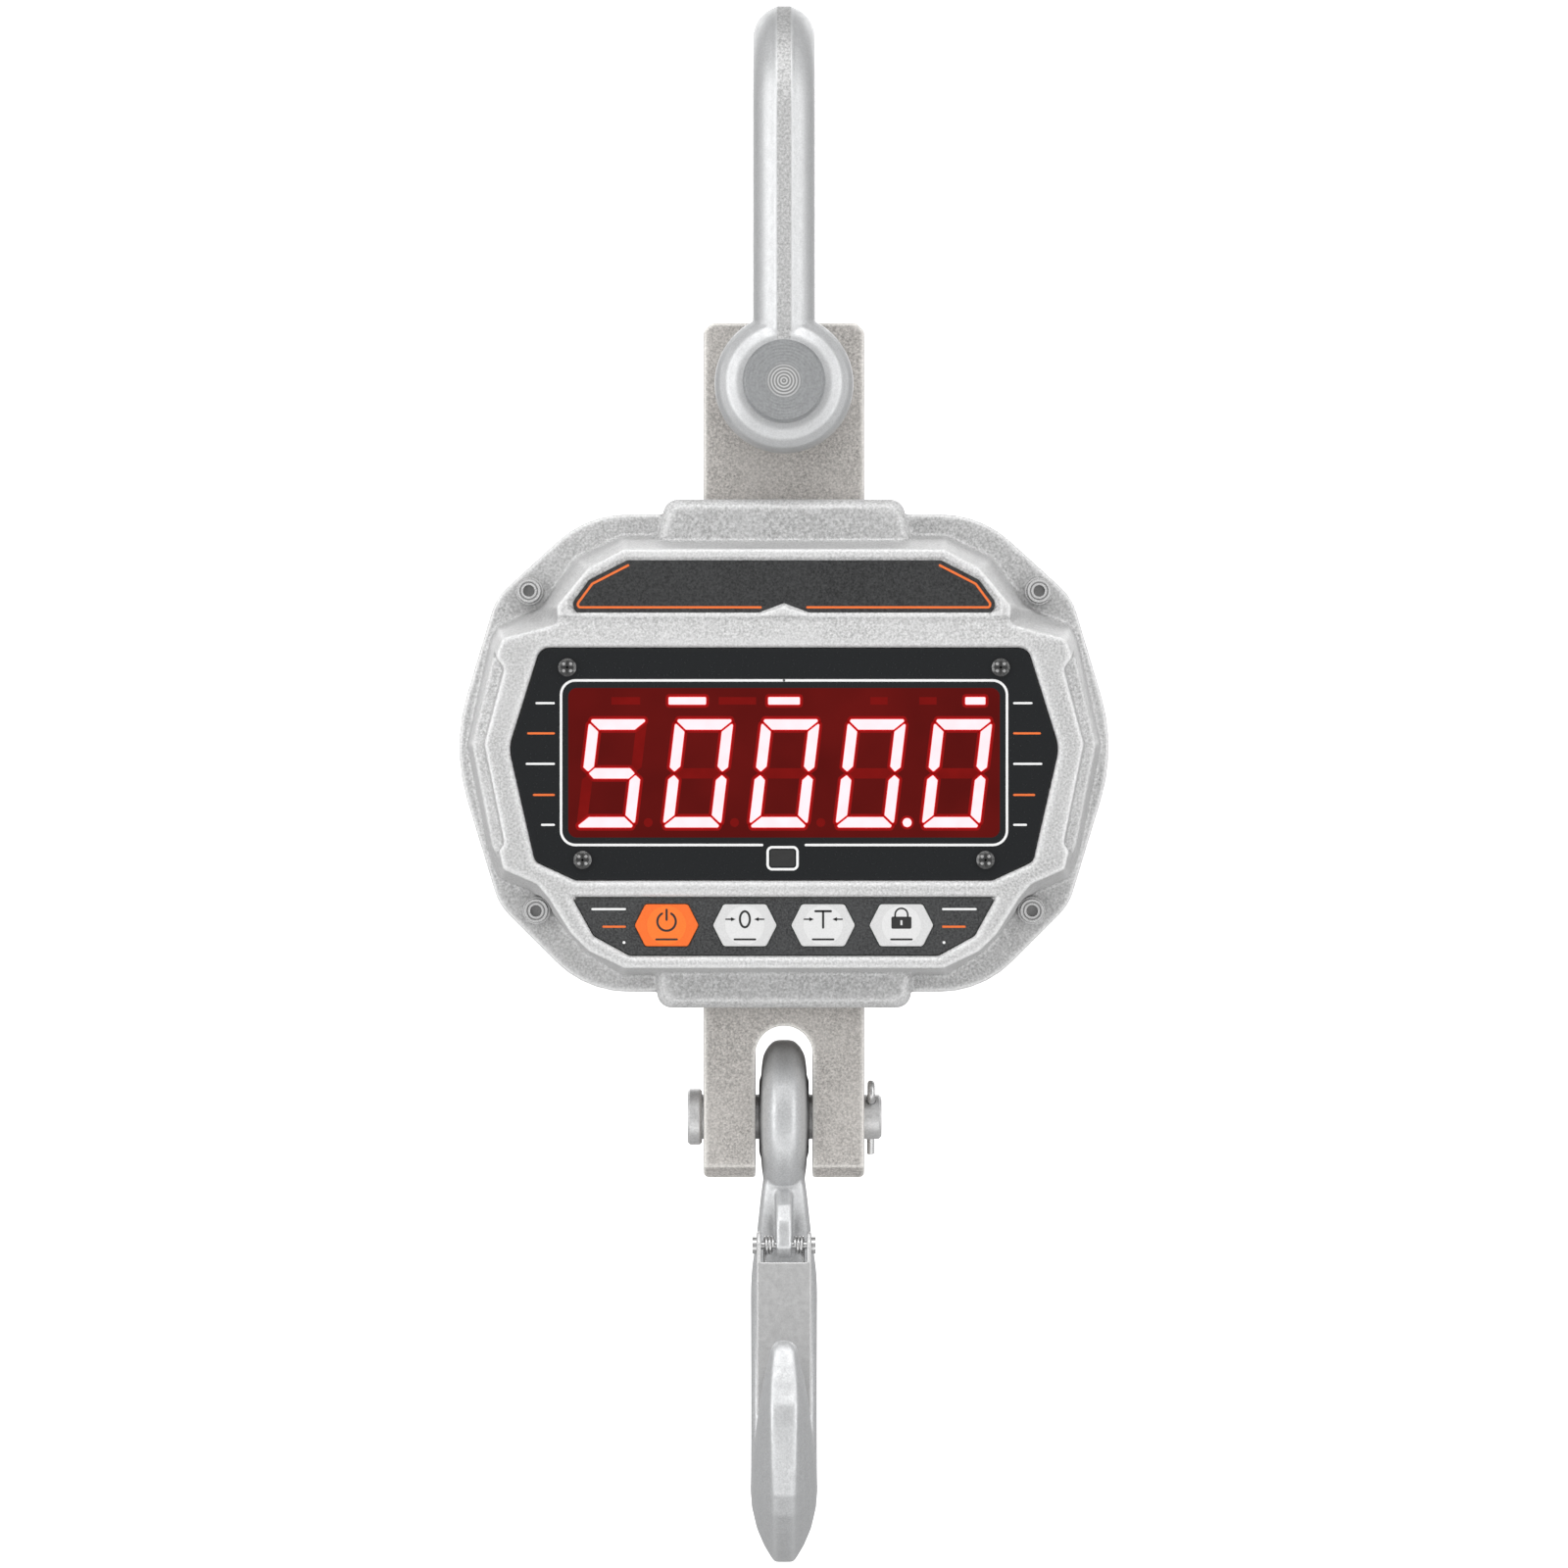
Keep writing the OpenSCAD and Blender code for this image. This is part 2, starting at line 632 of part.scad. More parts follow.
module cell_cable() {
    color("black") in_housing()
        lead([[2 - cell_half_w, cable_y, 0], [-cable_x, cable_y, 0],
              [-cable_x, main_board_y + board_t + connector_h, 0]], cable_d, cable_turn);
}

// ---- Castings ----

module neck_opening(side) {
    block([-neck_in_x, neck_in_x], side > 0 ? [-cut, neck_in_y] : [-neck_in_y, cut],
          [body_z - hh - neck_drop - cut, body_z + hh + neck_rise + cut]);
}

module cover_screw_holes(r, y0, y1) {
    for (s = [-1, 1], i = [0, 1]) ycyl(r, y0, y1, s * cover_screw_x[i], cover_screw_z[i]);
}

module front_cover() {
    color("gainsboro") difference() {
        union() {
            in_housing() {
                slab(flange_outline, -flange_y, -parting);
                stack(concat([[front_y - cut, bezel_outline]],
                             [for (r = ledge_rings) [r[0], rounded(mirrored(ledge_side(r[1], r[2])),
                                                                   casting_round, 2)]],
                             [[-flange_y + sink, skirt_outline]]));
                edged_slab(upper_neck_side, neck_round, -neck_depth, -parting, neck_edge);
                edged_slab(lower_neck_side, neck_round, -neck_depth, -parting, neck_edge);
            }
        }
        in_housing() {
            block([-2 * hw, 2 * hw], [front_y - 2 * cut, front_y], [-2 * hh, 2 * hh]);
            slab(cavity_outline, front_wall_y, 0);
            // channel below the label's frame
            translate([-hw, 0, 0]) rotate([90, 0, 90]) linear_extrude(2 * hw)
                polygon([[front_y - cut, channel_z[0]], [front_y, channel_z[0]],
                         [front_y + channel_depth, channel_z[1]], [front_y, channel_z[2]],
                         [front_y - cut, channel_z[2]]]);
            // window recess, display opening and receiver hole
            recess(window_outline, recess_y);
            slab(box_outline(opening_w, opening_h, display_z), recess_y - cut, front_wall_y + cut);
            slab(box_outline(ir_hole[0], ir_hole[1], ir_z), recess_y - cut, front_wall_y + cut);
            // label and keypad recesses, and the slot for the keypad's tail
            recess(label_outline, front_y + label_sink + label_t);
            recess(keypad_outline, recess_y);
            slab(box_outline(tail_slot[0], tail_slot[1], tail_z), recess_y - cut, front_wall_y + cut);
            cover_screw_holes(cover_screw_d / 2 + screw_gap, -flange_y - cut, cut);
            cover_screw_holes(spot_r, front_y - cut, -flange_y);
            for (s = [-1, 1], i = [0, 1])
                ycyl(window_screw_d / 2 + thread_gap, recess_y - cut, recess_y + window_screw_grip + part_gap,
                     s * window_screw_x[i], window_screw_z[i]);
        }
        neck_opening(-1);
    }
    // posts that carry the display board
    color("gainsboro") in_housing()
        for (s = [-1, 1], z = board_post_z) difference() {
            ycyl(board_post_r, front_wall_y - 0.5, board_y, s * display_screw_x, z);
            ycyl(board_screw_d / 2 + thread_gap, front_wall_y + 0.5, board_y + cut, s * display_screw_x, z);
        }
}

module rear_cover() {
    rear_in = 7;
    rear_out = 17;
    bay = box_outline(bay_w, bay_h, battery_z);
    color("gainsboro") difference() {
        in_housing() union() {
            slab(flange_outline, parting, flange_y);
            stack([for (r = [[flange_y - sink, rear_in], [rear_depth - 6, rear_out - 1.5],
                             [rear_depth - 3.4, rear_out], [rear_depth - 1.2, rear_out + 2.2],
                             [rear_depth + cut, rear_out + 5.4]])
                [r[0], rounded(inset(mirrored(flange_side), r[1]), 14, 5)]]);
            edged_slab(upper_neck_side, neck_round, neck_depth, parting, neck_edge);
            edged_slab(lower_neck_side, neck_round, neck_depth, parting, neck_edge);
        }
        in_housing() {
            block([-2 * hw, 2 * hw], [rear_depth, rear_depth + 2 * cut], [-2 * hh, 2 * hh]);
            difference() {
                slab(inset(mirrored(flange_side), rear_out + wall + 2), 0, rear_wall_y);
                slab(box_outline(door_w + 2, door_h + 2, battery_z), door_seat_y - wall, rear_depth);
            }
            slab(bay, door_seat_y - 2 * wall, rear_depth + cut);
            slab(box_outline(door_w + 2 * seat_gap, door_h + 2 * seat_gap, battery_z), door_seat_y,
                 rear_depth + cut);
            cover_screw_holes(cover_screw_d / 2 + thread_gap, -cut, flange_y + 6);
            for (s = [-1, 1], t = [-1, 1])
                ycyl(door_screw_d / 2 + thread_gap, door_seat_y - 3, door_seat_y + cut,
                     s * door_screw_x, battery_z + t * door_screw_z);
            ycyl(cap_r + part_gap, rear_depth - cap_t - cap_sink - 0.1, rear_depth + cut, socket_x, socket_z);
            ycyl(socket_r + thread_gap, rear_wall_y - socket_depth - cut, rear_depth + cut,
                 socket_x, socket_z);
        }
        neck_opening(1);
        for (s = [-1, 1])
            ycyl(cell_screw_d / 2 + screw_gap, 0, neck_depth + cut, s * cell_screw_x, cell_screw_z);
    }
}

module cover_gasket() {
    color("dimgray") difference() {
        in_housing() {
            slab(rounded(inset(mirrored(flange_side), 1.5), round_list(flange_round), 5), -parting, parting);
            slab(mirrored(inset_neck(upper_neck_side)), -parting, parting);
            slab(mirrored(inset_neck(lower_neck_side)), -parting, parting);
        }
        in_housing() slab(cavity_outline, -parting - cut, parting + cut);
        in_housing() cover_screw_holes(cover_screw_d / 2 + 0.6, -cut - parting, cut + parting);
        block([-neck_in_x, neck_in_x], [-neck_in_y, neck_in_y], [body_z - 2 * hh, body_z + 2 * hh]);
    }
}

module neck_seals() {
    for (z = seal_z)
        color("dimgray") difference() {
            block([-neck_in_x, neck_in_x], [-neck_in_y, neck_in_y], [z, z + seal_h]);
            block([-cell_w / 2, cell_w / 2], [-cell_t / 2, cell_t / 2], [z - cut, z + seal_h + cut]);
        }
}

module cover_screws() {
    color("silver") in_housing() for (s = [-1, 1], i = [0, 1])
        socket_screw(cover_screw_d, -flange_y - 1, flange_t + flange_y + 5,
                     s * cover_screw_x[i], cover_screw_z[i]);
}

module cover_washers() {
    color("silver") in_housing() for (s = [-1, 1], i = [0, 1]) difference() {
        ycyl(cover_screw_d, -flange_y - 1, -flange_y, s * cover_screw_x[i], cover_screw_z[i]);
        ycyl(cover_screw_d / 2 + screw_gap, -flange_y - 2, -flange_y + 1,
             s * cover_screw_x[i], cover_screw_z[i]);
    }
}

// ---- Display ----

module display_window() {
    color("black") in_housing() difference() {
        slab(window_outline, window_front_y, window_back_y);
        for (s = [-1, 1], i = [0, 1])
            ycyl(window_screw_d / 2 + screw_gap, window_front_y - cut, window_back_y + cut,
                 s * window_screw_x[i], window_screw_z[i]);
    }
}

module window_gasket() {
    color("dimgray") in_housing() difference() {
        slab(window_outline, window_back_y, recess_y);
        slab(box_outline(opening_w, opening_h, display_z), window_back_y - cut, recess_y + cut);
        slab(box_outline(ir_hole[0], ir_hole[1], ir_z), window_back_y - cut, recess_y + cut);
        for (s = [-1, 1], i = [0, 1])
            ycyl(window_screw_d / 2 + 0.5, window_back_y - cut, recess_y + cut,
                 s * window_screw_x[i], window_screw_z[i]);
    }
}

module window_screws() {
    color("dimgray") in_housing() for (s = [-1, 1], i = [0, 1])
        pan_screw(window_screw_d, window_front_y, recess_y - window_front_y + window_screw_grip,
                  s * window_screw_x[i], window_screw_z[i]);
}

module digit_modules() {
    color("maroon") in_housing() for (i = [0:digit_count - 1])
        slab(box_outline(digit_pitch - part_gap, module_h, display_z,
                         (i - (digit_count - 1) / 2) * digit_pitch), module_front_y, board_y);
}

module display_board() {
    color("darkgreen") in_housing() difference() {
        slab(mirrored([[display_board_w / 2, display_board_top], [display_board_w / 2, display_board_bottom]]),
             board_y, board_y + board_t);
        for (s = [-1, 1], z = board_post_z)
            ycyl(board_screw_d / 2 + screw_gap, board_y - cut, board_y + board_t + cut, s * display_screw_x, z);
        for (s = [-1, 1], t = [-1, 1])
            ycyl(board_screw_d / 2 + screw_gap, board_y - cut, board_y + board_t + cut,
                 s * spacer_x, display_z + t * spacer_z);
    }
}

module display_board_screws() {
    color("silver") in_housing()
        for (s = [-1, 1], z = board_post_z)
            pan_screw(board_screw_d, board_y + board_t, board_t + 8, s * display_screw_x, z, 1);
}

module ir_receiver() {
    color("black") in_housing() {
        slab(box_outline(ir_hole[0] - 3, ir_hole[1] - 1, ir_z), recess_y + 2, board_y);
        ycyl(2.4, recess_y + 1, recess_y + 2, 0, ir_z);
    }
}

module board_spacers() {
    color("goldenrod") in_housing() for (s = [-1, 1], t = [-1, 1]) {
        translate([s * spacer_x, board_y + board_t + spacer_h, display_z + t * spacer_z])
            rotate([90, 0, 0]) cylinder(h = spacer_h, r = spacer_r, $fn = 6);
        ycyl(board_screw_d / 2, main_board_y, main_board_y + board_t + 2, s * spacer_x, display_z + t * spacer_z);
    }
}

module main_board() {
    color("green") in_housing() difference() {
        slab(box_outline(main_board_w, main_board_h, display_z), main_board_y, main_board_y + board_t);
        for (s = [-1, 1], t = [-1, 1])
            ycyl(board_screw_d / 2 + screw_gap, main_board_y - cut, main_board_y + board_t + cut,
                 s * spacer_x, display_z + t * spacer_z);
    }
}

module board_components() {
    back = main_board_y + board_t;
    color("dimgray") in_housing() {
        // controller, converter and driver chips
        for (chip = [[-40, 8, 14, 14], [8, 10, 12, 9], [38, -4, 10, 18]])
            slab(box_outline(chip[2], chip[3], display_z + chip[1], chip[0]), back, back + 2);
        // capacitors stand on the board beside the load cell
        for (x = [38, 50]) ycyl(4, back, back + 8, x, display_z + 16);
        // sockets for the load cell, the battery and the ribbon
        slab(box_outline(10, 8, 0, -cable_x), back, back + connector_h);
        slab(box_outline(10, 8, display_z - 16, 50), back, back + connector_h);
    }
}

module ribbon_cable() {
    color("lightgray") in_housing()
        block([-12, 12], [board_y + board_t, main_board_y],
              [display_z - main_board_h / 2 + 2, display_z - main_board_h / 2 + 3]);
}

// ---- Label and keypad ----

module top_label() {
    color("dimgray") in_housing()
        slab(label_outline, front_y + label_sink, front_y + label_sink + label_t);
}

module keypad_board() {
    color("darkgreen") in_housing() slab(keypad_outline, keypad_board_y, recess_y);
}

module snap_domes() {
    color("silver") in_housing() for (x = key_x) ycyl(dome_r, dome_y, keypad_board_y, x, key_z);
}

module keypad_layer(y0, y1) {
    difference() {
        slab(keypad_outline, y0, y1);
        for (x = key_x) translate([x, 0, key_z]) slab(key_outline(part_gap), y0 - cut, y1 + cut);
    }
}

module keypad_spacer() {
    color("white") in_housing() keypad_layer(film_back_y, keypad_board_y);
}

module keypad_membrane() {
    color("dimgray") in_housing() keypad_layer(film_front_y, film_back_y);
}

module keypad_tail() {
    color("orange") in_housing()
        block([-tail_w / 2, tail_w / 2], [recess_y, board_y - 0.5],
              [tail_z - tail_t / 2, tail_z + tail_t / 2]);
}

module key_cap(i, shade) {
    color(shade) in_housing() translate([key_x[i], 0, key_z])
        slab(key_outline(), key_back_y - key_t, key_back_y);
}

module power_key() {
    key_cap(0, "orange");
}

module zero_key() {
    key_cap(1, "white");
}

module tare_key() {
    key_cap(2, "white");
}

module hold_key() {
    key_cap(3, "white");
}

// ---- Battery, door and charging socket ----

module battery() {
    color("darkslategray") in_housing()
        slab(box_outline(battery_l, battery_h, battery_mid_z), battery_y, battery_y + battery_t);
}

module battery_terminals() {
    color("silver") in_housing() for (x = terminal_x)
        block([x - terminal_w / 2, x + terminal_w / 2], [terminal_y - terminal_t / 2, terminal_y + terminal_t / 2],
              [battery_top_z, battery_top_z + terminal_h]);
}

module battery_tray() {
    color("dimgray") in_housing() difference() {
        slab(box_outline(bay_w - part_gap, bay_h - part_gap, battery_z), tray_y, door_seat_y - part_gap);
        slab(box_outline(bay_w - 2 * tray_wall, bay_h - 2 * tray_wall, battery_z),
             tray_y + tray_wall, door_seat_y + cut);
        // way out for the battery lead
        block([terminal_x[1] - 8, terminal_x[0] + 6], [tray_y - cut, tray_y + 12],
              [battery_z + bay_h / 2 - 4, battery_z + bay_h / 2 + cut]);
    }
}

module battery_pad() {
    color("gray") in_housing() slab(box_outline(battery_l - 10, battery_h - 10, battery_mid_z),
                                    battery_y + battery_t, door_in_y);
}

module battery_lead() {
    z = battery_top_z + terminal_h;
    for (i = [0, 1])
        color(i == 0 ? "red" : "black") in_housing()
            lead([[terminal_x[i], terminal_y, z], [terminal_x[i], terminal_y, z + lead_rise],
                  [terminal_x[i], main_board_y + board_t, z + lead_rise]], lead_d, lead_turn);
}

module battery_door() {
    color("gainsboro") in_housing() difference() {
        slab(rounded(box_outline(door_w, door_h, battery_z), 2, 3), door_in_y, door_out_y);
        for (s = [-1, 1], t = [-1, 1]) {
            ycyl(door_screw_d / 2 + screw_gap, door_in_y - cut, door_out_y + cut, s * door_screw_x,
                 battery_z + t * door_screw_z);
            ycyl(door_head_r, door_out_y - door_screw_sink, door_out_y + cut, s * door_screw_x,
                 battery_z + t * door_screw_z);
        }
    }
}

module door_gasket() {
    color("dimgray") in_housing() difference() {
        slab(box_outline(door_w, door_h, battery_z), door_seat_y, door_in_y);
        slab(box_outline(bay_w, bay_h, battery_z), door_seat_y - cut, door_in_y + cut);
        for (s = [-1, 1], t = [-1, 1])
            ycyl(door_screw_d / 2 + 2 * screw_gap, door_seat_y - cut, door_in_y + cut, s * door_screw_x,
                 battery_z + t * door_screw_z);
    }
}

module door_screws() {
    color("silver") in_housing() for (s = [-1, 1], t = [-1, 1])
        pan_screw(door_screw_d, door_out_y - door_screw_sink, door_gasket_t + door_t + cut, s * door_screw_x,
                  battery_z + t * door_screw_z, 1);
}

module rating_label() {
    color("white") in_housing()
        slab(box_outline(rating_label_size[0], rating_label_size[1], battery_z), door_out_y,
             door_out_y + rating_label_size[2]);
}

module charge_socket() {
    color("black") in_housing() difference() {
        ycyl(socket_r, rear_wall_y - socket_depth, rear_depth - cap_t - cap_sink - 0.1, socket_x, socket_z);
        ycyl(socket_bore_r, rear_wall_y - 6, rear_depth, socket_x, socket_z);
    }
}

module charge_cap() {
    color("dimgray") in_housing() {
        ycyl(cap_r, rear_depth - cap_t - cap_sink, rear_depth - cap_sink, socket_x, socket_z);
        ycyl(cap_plug_r, rear_depth - cap_t - 4, rear_depth - cap_t, socket_x, socket_z);
    }
}

// ---- Hook ----

module hook_pin() {
    head_x = -cell_w / 2 - hook_head_gap;
    color("silver") difference() {
        union() {
            translate([0, 0, hook_z]) rimmed_disc(hook_head_r, head_x - hook_head_t, head_x, head_chamfer);
            xcyl(hook_pin_d / 2, head_x - cut, hook_pin_end - sink, 0, hook_z);
            translate([hook_pin_end - sink, 0, hook_z]) rotate([0, 90, 0])
                cylinder(h = sink, r1 = hook_pin_d / 2, r2 = hook_pin_d / 2 - sink);
        }
        translate([hook_cotter_x, 0, hook_z]) rotate([hook_cotter_lean, 0, 0])
            cylinder(h = 2 * hook_pin_d, r = hook_cotter_d / 2 + part_gap, center = true);
    }
}

module hook_pin_cotter() {
    color("silver") translate([hook_cotter_x, 0, hook_z]) rotate([hook_cotter_lean, 0, 0])
        split_pin(hook_cotter_d, hook_pin_d);
}

// Forging stations from the eye round to the tip: inner y, inner z, outer y, outer z, and the
// half widths at the inner and outer sides, all from the hook pin's axis
hook_stations = [
    [-10, -14, 10, -14, 6, 6], [-11, -27, 16, -24, 8, 7], [-4, -43, 24, -36, 9.8, 7],
    [7, -58, 36, -50, 11.8, 6.5], [16.5, -74, 46, -68, 12, 6], [23, -89, 52, -87, 12, 5.2],
    [25, -103, 54, -106, 12, 4.5], [17.7, -120.7, 40, -143, 12, 3.6], [0, -128, 2, -158, 12, 3.3],
    [-17.7, -120.7, -35, -141, 11.4, 3.5], [-25.4, -103, -48.5, -110, 9, 4.4],
    [-27.8, -94, -46.8, -97, 7.4, 4.4], [-30.4, -85.5, -43, -86.5, 5.4, 3.8],
    [-32.2, -82.2, -41.2, -82.8, 4.5, 3.4], [-33.9, -80.5, -39.3, -80.6, 3, 2.4],
    [-35.7, -79.8, -37.3, -79.8, 1, 0.8]
];
section_steps = [0, 0.04, 0.12, 0.35, 0.6, 0.8, 0.93, 1];
station_splits = 4;

function spline(a, b, c, d, t) =
    0.5 * ((2 * b) + (c - a) * t + (2 * a - 5 * b + 4 * c - d) * t * t
           + (3 * b - a - 3 * c + d) * t * t * t);
function station(k) =
    let (n = len(hook_stations) - 1, i = min(floor(k), n - 1), s = hook_stations)
    spline(s[max(i - 1, 0)], s[i], s[i + 1], s[min(i + 2, n)], k - i);
function half_width(u, wi, wo) =
    u < 0.02 ? wi * 0.5 : u < 0.1 ? wi * 0.85 : wo + (wi - wo) * (1 - pow(u, 2.6));
function ring(k) =
    let (s = station(k), n = len(section_steps))
    concat([for (u = section_steps)
                [half_width(u, s[4], s[5]), s[0] + (s[2] - s[0]) * u, s[1] + (s[3] - s[1]) * u]],
           [for (j = [n - 1:-1:0]) let (u = section_steps[j])
                [-half_width(u, s[4], s[5]), s[0] + (s[2] - s[0]) * u, s[1] + (s[3] - s[1]) * u]]);

module forging() {
    last = (len(hook_stations) - 1) * station_splits;
    per = 2 * len(section_steps);
    rings = [for (k = [0:last]) ring(k / station_splits)];
    points = [for (r = rings) each r];
    sides = [for (k = [0:last - 1], j = [0:per - 1])
        let (a = k * per + j, b = k * per + (j + 1) % per)
        each [[a, b, a + per], [b, b + per, a + per]]];
    polyhedron(points, concat([[for (j = [per - 1:-1:0]) j]],
                              [[for (j = [0:per - 1]) last * per + j]], sides), convexity = 6);
}

module hook_eye() {
    r = hook_pin_d / 2;
    boss = eye_t / 2;
    web = boss - 0.7;
    side = [[r - 1, boss], [r + 5.5, boss], [r + 5.8, web], [r + 10, web - 0.2], [r + 14, web - 0.8],
            [r + 17, web - 2.4], [r + 19, web - 4.4], [r + eye_wall, web - 5.8]];
    profile = concat(side, [for (i = [len(side) - 1:-1:0]) [side[i][0], -side[i][1]]]);
    rotate([0, 90, 0]) rotate_extrude() polygon(profile);
}

module hook() {
    lug = [[-10, -25], [-17.5, -32], [-20, -38], [-20.3, -47], [-17, -50.6], [-12, -50.4],
           [-6, -46], [4, -46], [4, -28]];
    color("gainsboro") at_hook() difference() {
        union() {
            hook_eye();
            forging();
            translate([-lug_t / 2, 0, 0]) rotate([90, 0, 90]) linear_extrude(lug_t) polygon(lug);
        }
        xcyl(hook_pin_d / 2 + bore_gap, -eye_t, eye_t);
        xcyl(latch_pin_d / 2 + 0.05, -lug_t, lug_t, latch_y, latch_z);
    }
}

module latch_pin() {
    color("silver") at_hook() {
        xcyl(latch_pin_d / 2, -latch_w / 2 - 1, latch_w / 2 + 1, latch_y, latch_z);
        for (s = [-1, 1])
            xcyl(latch_pin_d, s > 0 ? latch_w / 2 + 0.1 : -latch_w / 2 - 0.1 - rivet_t,
                 s > 0 ? latch_w / 2 + 0.1 + rivet_t : -latch_w / 2 - 0.1, latch_y, latch_z);
    }
}

module latch_spring() {
    color("silver") at_hook() translate([0, latch_y, latch_z]) for (s = [-1, 1]) {
        for (i = [0:spring_turns - 1])
            translate([s * (lug_t / 2 + 0.9 + i * (spring_wire + 0.1)), 0, 0]) rotate([0, 90, 0])
                rotate_extrude() translate([spring_r, 0]) circle(r = spring_wire / 2);
        // the leg that presses on the latch
        translate([s * (lug_t / 2 + 0.9 + (spring_turns - 1) * (spring_wire + 0.1)), -spring_r, 0])
            rotate([180 + 1.5, 0, 0]) cylinder(h = spring_leg, r = spring_wire / 2);
    }
}

module latch() {
    half = latch_w / 2;
    ear = 5;
    web_y = -5.8;
    flange = [
        [web_y, -6.4], [-ear + 0.4, 1], [-3, 4.2], [0, ear], [3.4, 3.6], [ear, 0], [4.6, -14],
        [1, -44], [-3, -latch_len], [web_y, -latch_len]
    ];
    color("gainsboro") at_hook() translate([0, latch_y, latch_z]) rotate([-latch_lean, 0, 0])
        difference() {
            union() {
                for (s = [-1, 1])
                    translate([s > 0 ? half - latch_t : -half, 0, 0]) rotate([90, 0, 90])
                        linear_extrude(latch_t) polygon(flange);
                block([-half + latch_t / 2, half - latch_t / 2], [web_y, web_y + latch_t],
                      [-latch_len, -6.4]);
            }
            xcyl(latch_pin_d / 2 + 0.1, -half - cut, half + cut);
        }
}

shackle_bow();
shackle_pin();
shackle_pin_washer();
shackle_pin_cotter();
load_cell();
strain_gauges();
gauge_covers();
cell_cable();
cell_mount_screws();
front_cover();
rear_cover();
cover_gasket();
neck_seals();
cover_screws();
cover_washers();
display_window();
window_gasket();
window_screws();
digit_modules();
display_board();
display_board_screws();
ir_receiver();
board_spacers();
main_board();
board_components();
ribbon_cable();
top_label();
keypad_board();
snap_domes();
keypad_spacer();
keypad_membrane();
keypad_tail();
power_key();
zero_key();
tare_key();
hold_key();
battery();
battery_terminals();
battery_tray();
battery_pad();
battery_lead();
battery_door();
door_gasket();
door_screws();
rating_label();
charge_socket();
charge_cap();
hook_pin();
hook_pin_cotter();
hook();
latch_pin();
latch_spring();
latch();
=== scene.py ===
import logging
import math
from dataclasses import dataclass, replace
from enum import Enum

import bmesh
import bpy
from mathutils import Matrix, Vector
from mathutils.geometry import tessellate_polygon


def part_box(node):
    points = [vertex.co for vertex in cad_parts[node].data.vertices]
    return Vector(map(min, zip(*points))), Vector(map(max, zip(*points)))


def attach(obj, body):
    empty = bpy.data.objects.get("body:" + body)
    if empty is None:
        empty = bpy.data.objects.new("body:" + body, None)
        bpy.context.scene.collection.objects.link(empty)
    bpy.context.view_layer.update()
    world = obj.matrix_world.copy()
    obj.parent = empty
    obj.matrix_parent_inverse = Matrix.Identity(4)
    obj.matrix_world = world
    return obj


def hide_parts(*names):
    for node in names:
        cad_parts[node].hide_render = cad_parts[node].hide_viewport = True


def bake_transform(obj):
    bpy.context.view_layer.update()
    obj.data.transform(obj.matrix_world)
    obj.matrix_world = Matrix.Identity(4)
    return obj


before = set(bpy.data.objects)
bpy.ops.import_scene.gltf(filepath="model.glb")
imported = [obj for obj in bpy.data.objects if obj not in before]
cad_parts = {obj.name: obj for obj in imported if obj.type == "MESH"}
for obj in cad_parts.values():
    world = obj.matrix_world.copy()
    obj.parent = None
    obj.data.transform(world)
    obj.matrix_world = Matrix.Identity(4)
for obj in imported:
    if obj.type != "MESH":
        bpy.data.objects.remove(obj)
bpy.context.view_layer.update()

MM = 0.001
Point = tuple[float, float]
Color = tuple[float, float, float]
Shape = tuple["Outline", list["Outline"]]
log = logging.getLogger("crane_scale")


class Body(Enum):
    """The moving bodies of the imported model."""

    SHACKLE = "shackle"
    SCALE = "scale"
    POWER = "on_off_key"
    ZERO = "zero_key"
    TARE = "tare_key"
    HOLD = "hold_key"
    HOOK = "hook"
    LATCH = "latch"


# ---------------------------------------------------------------- outlines


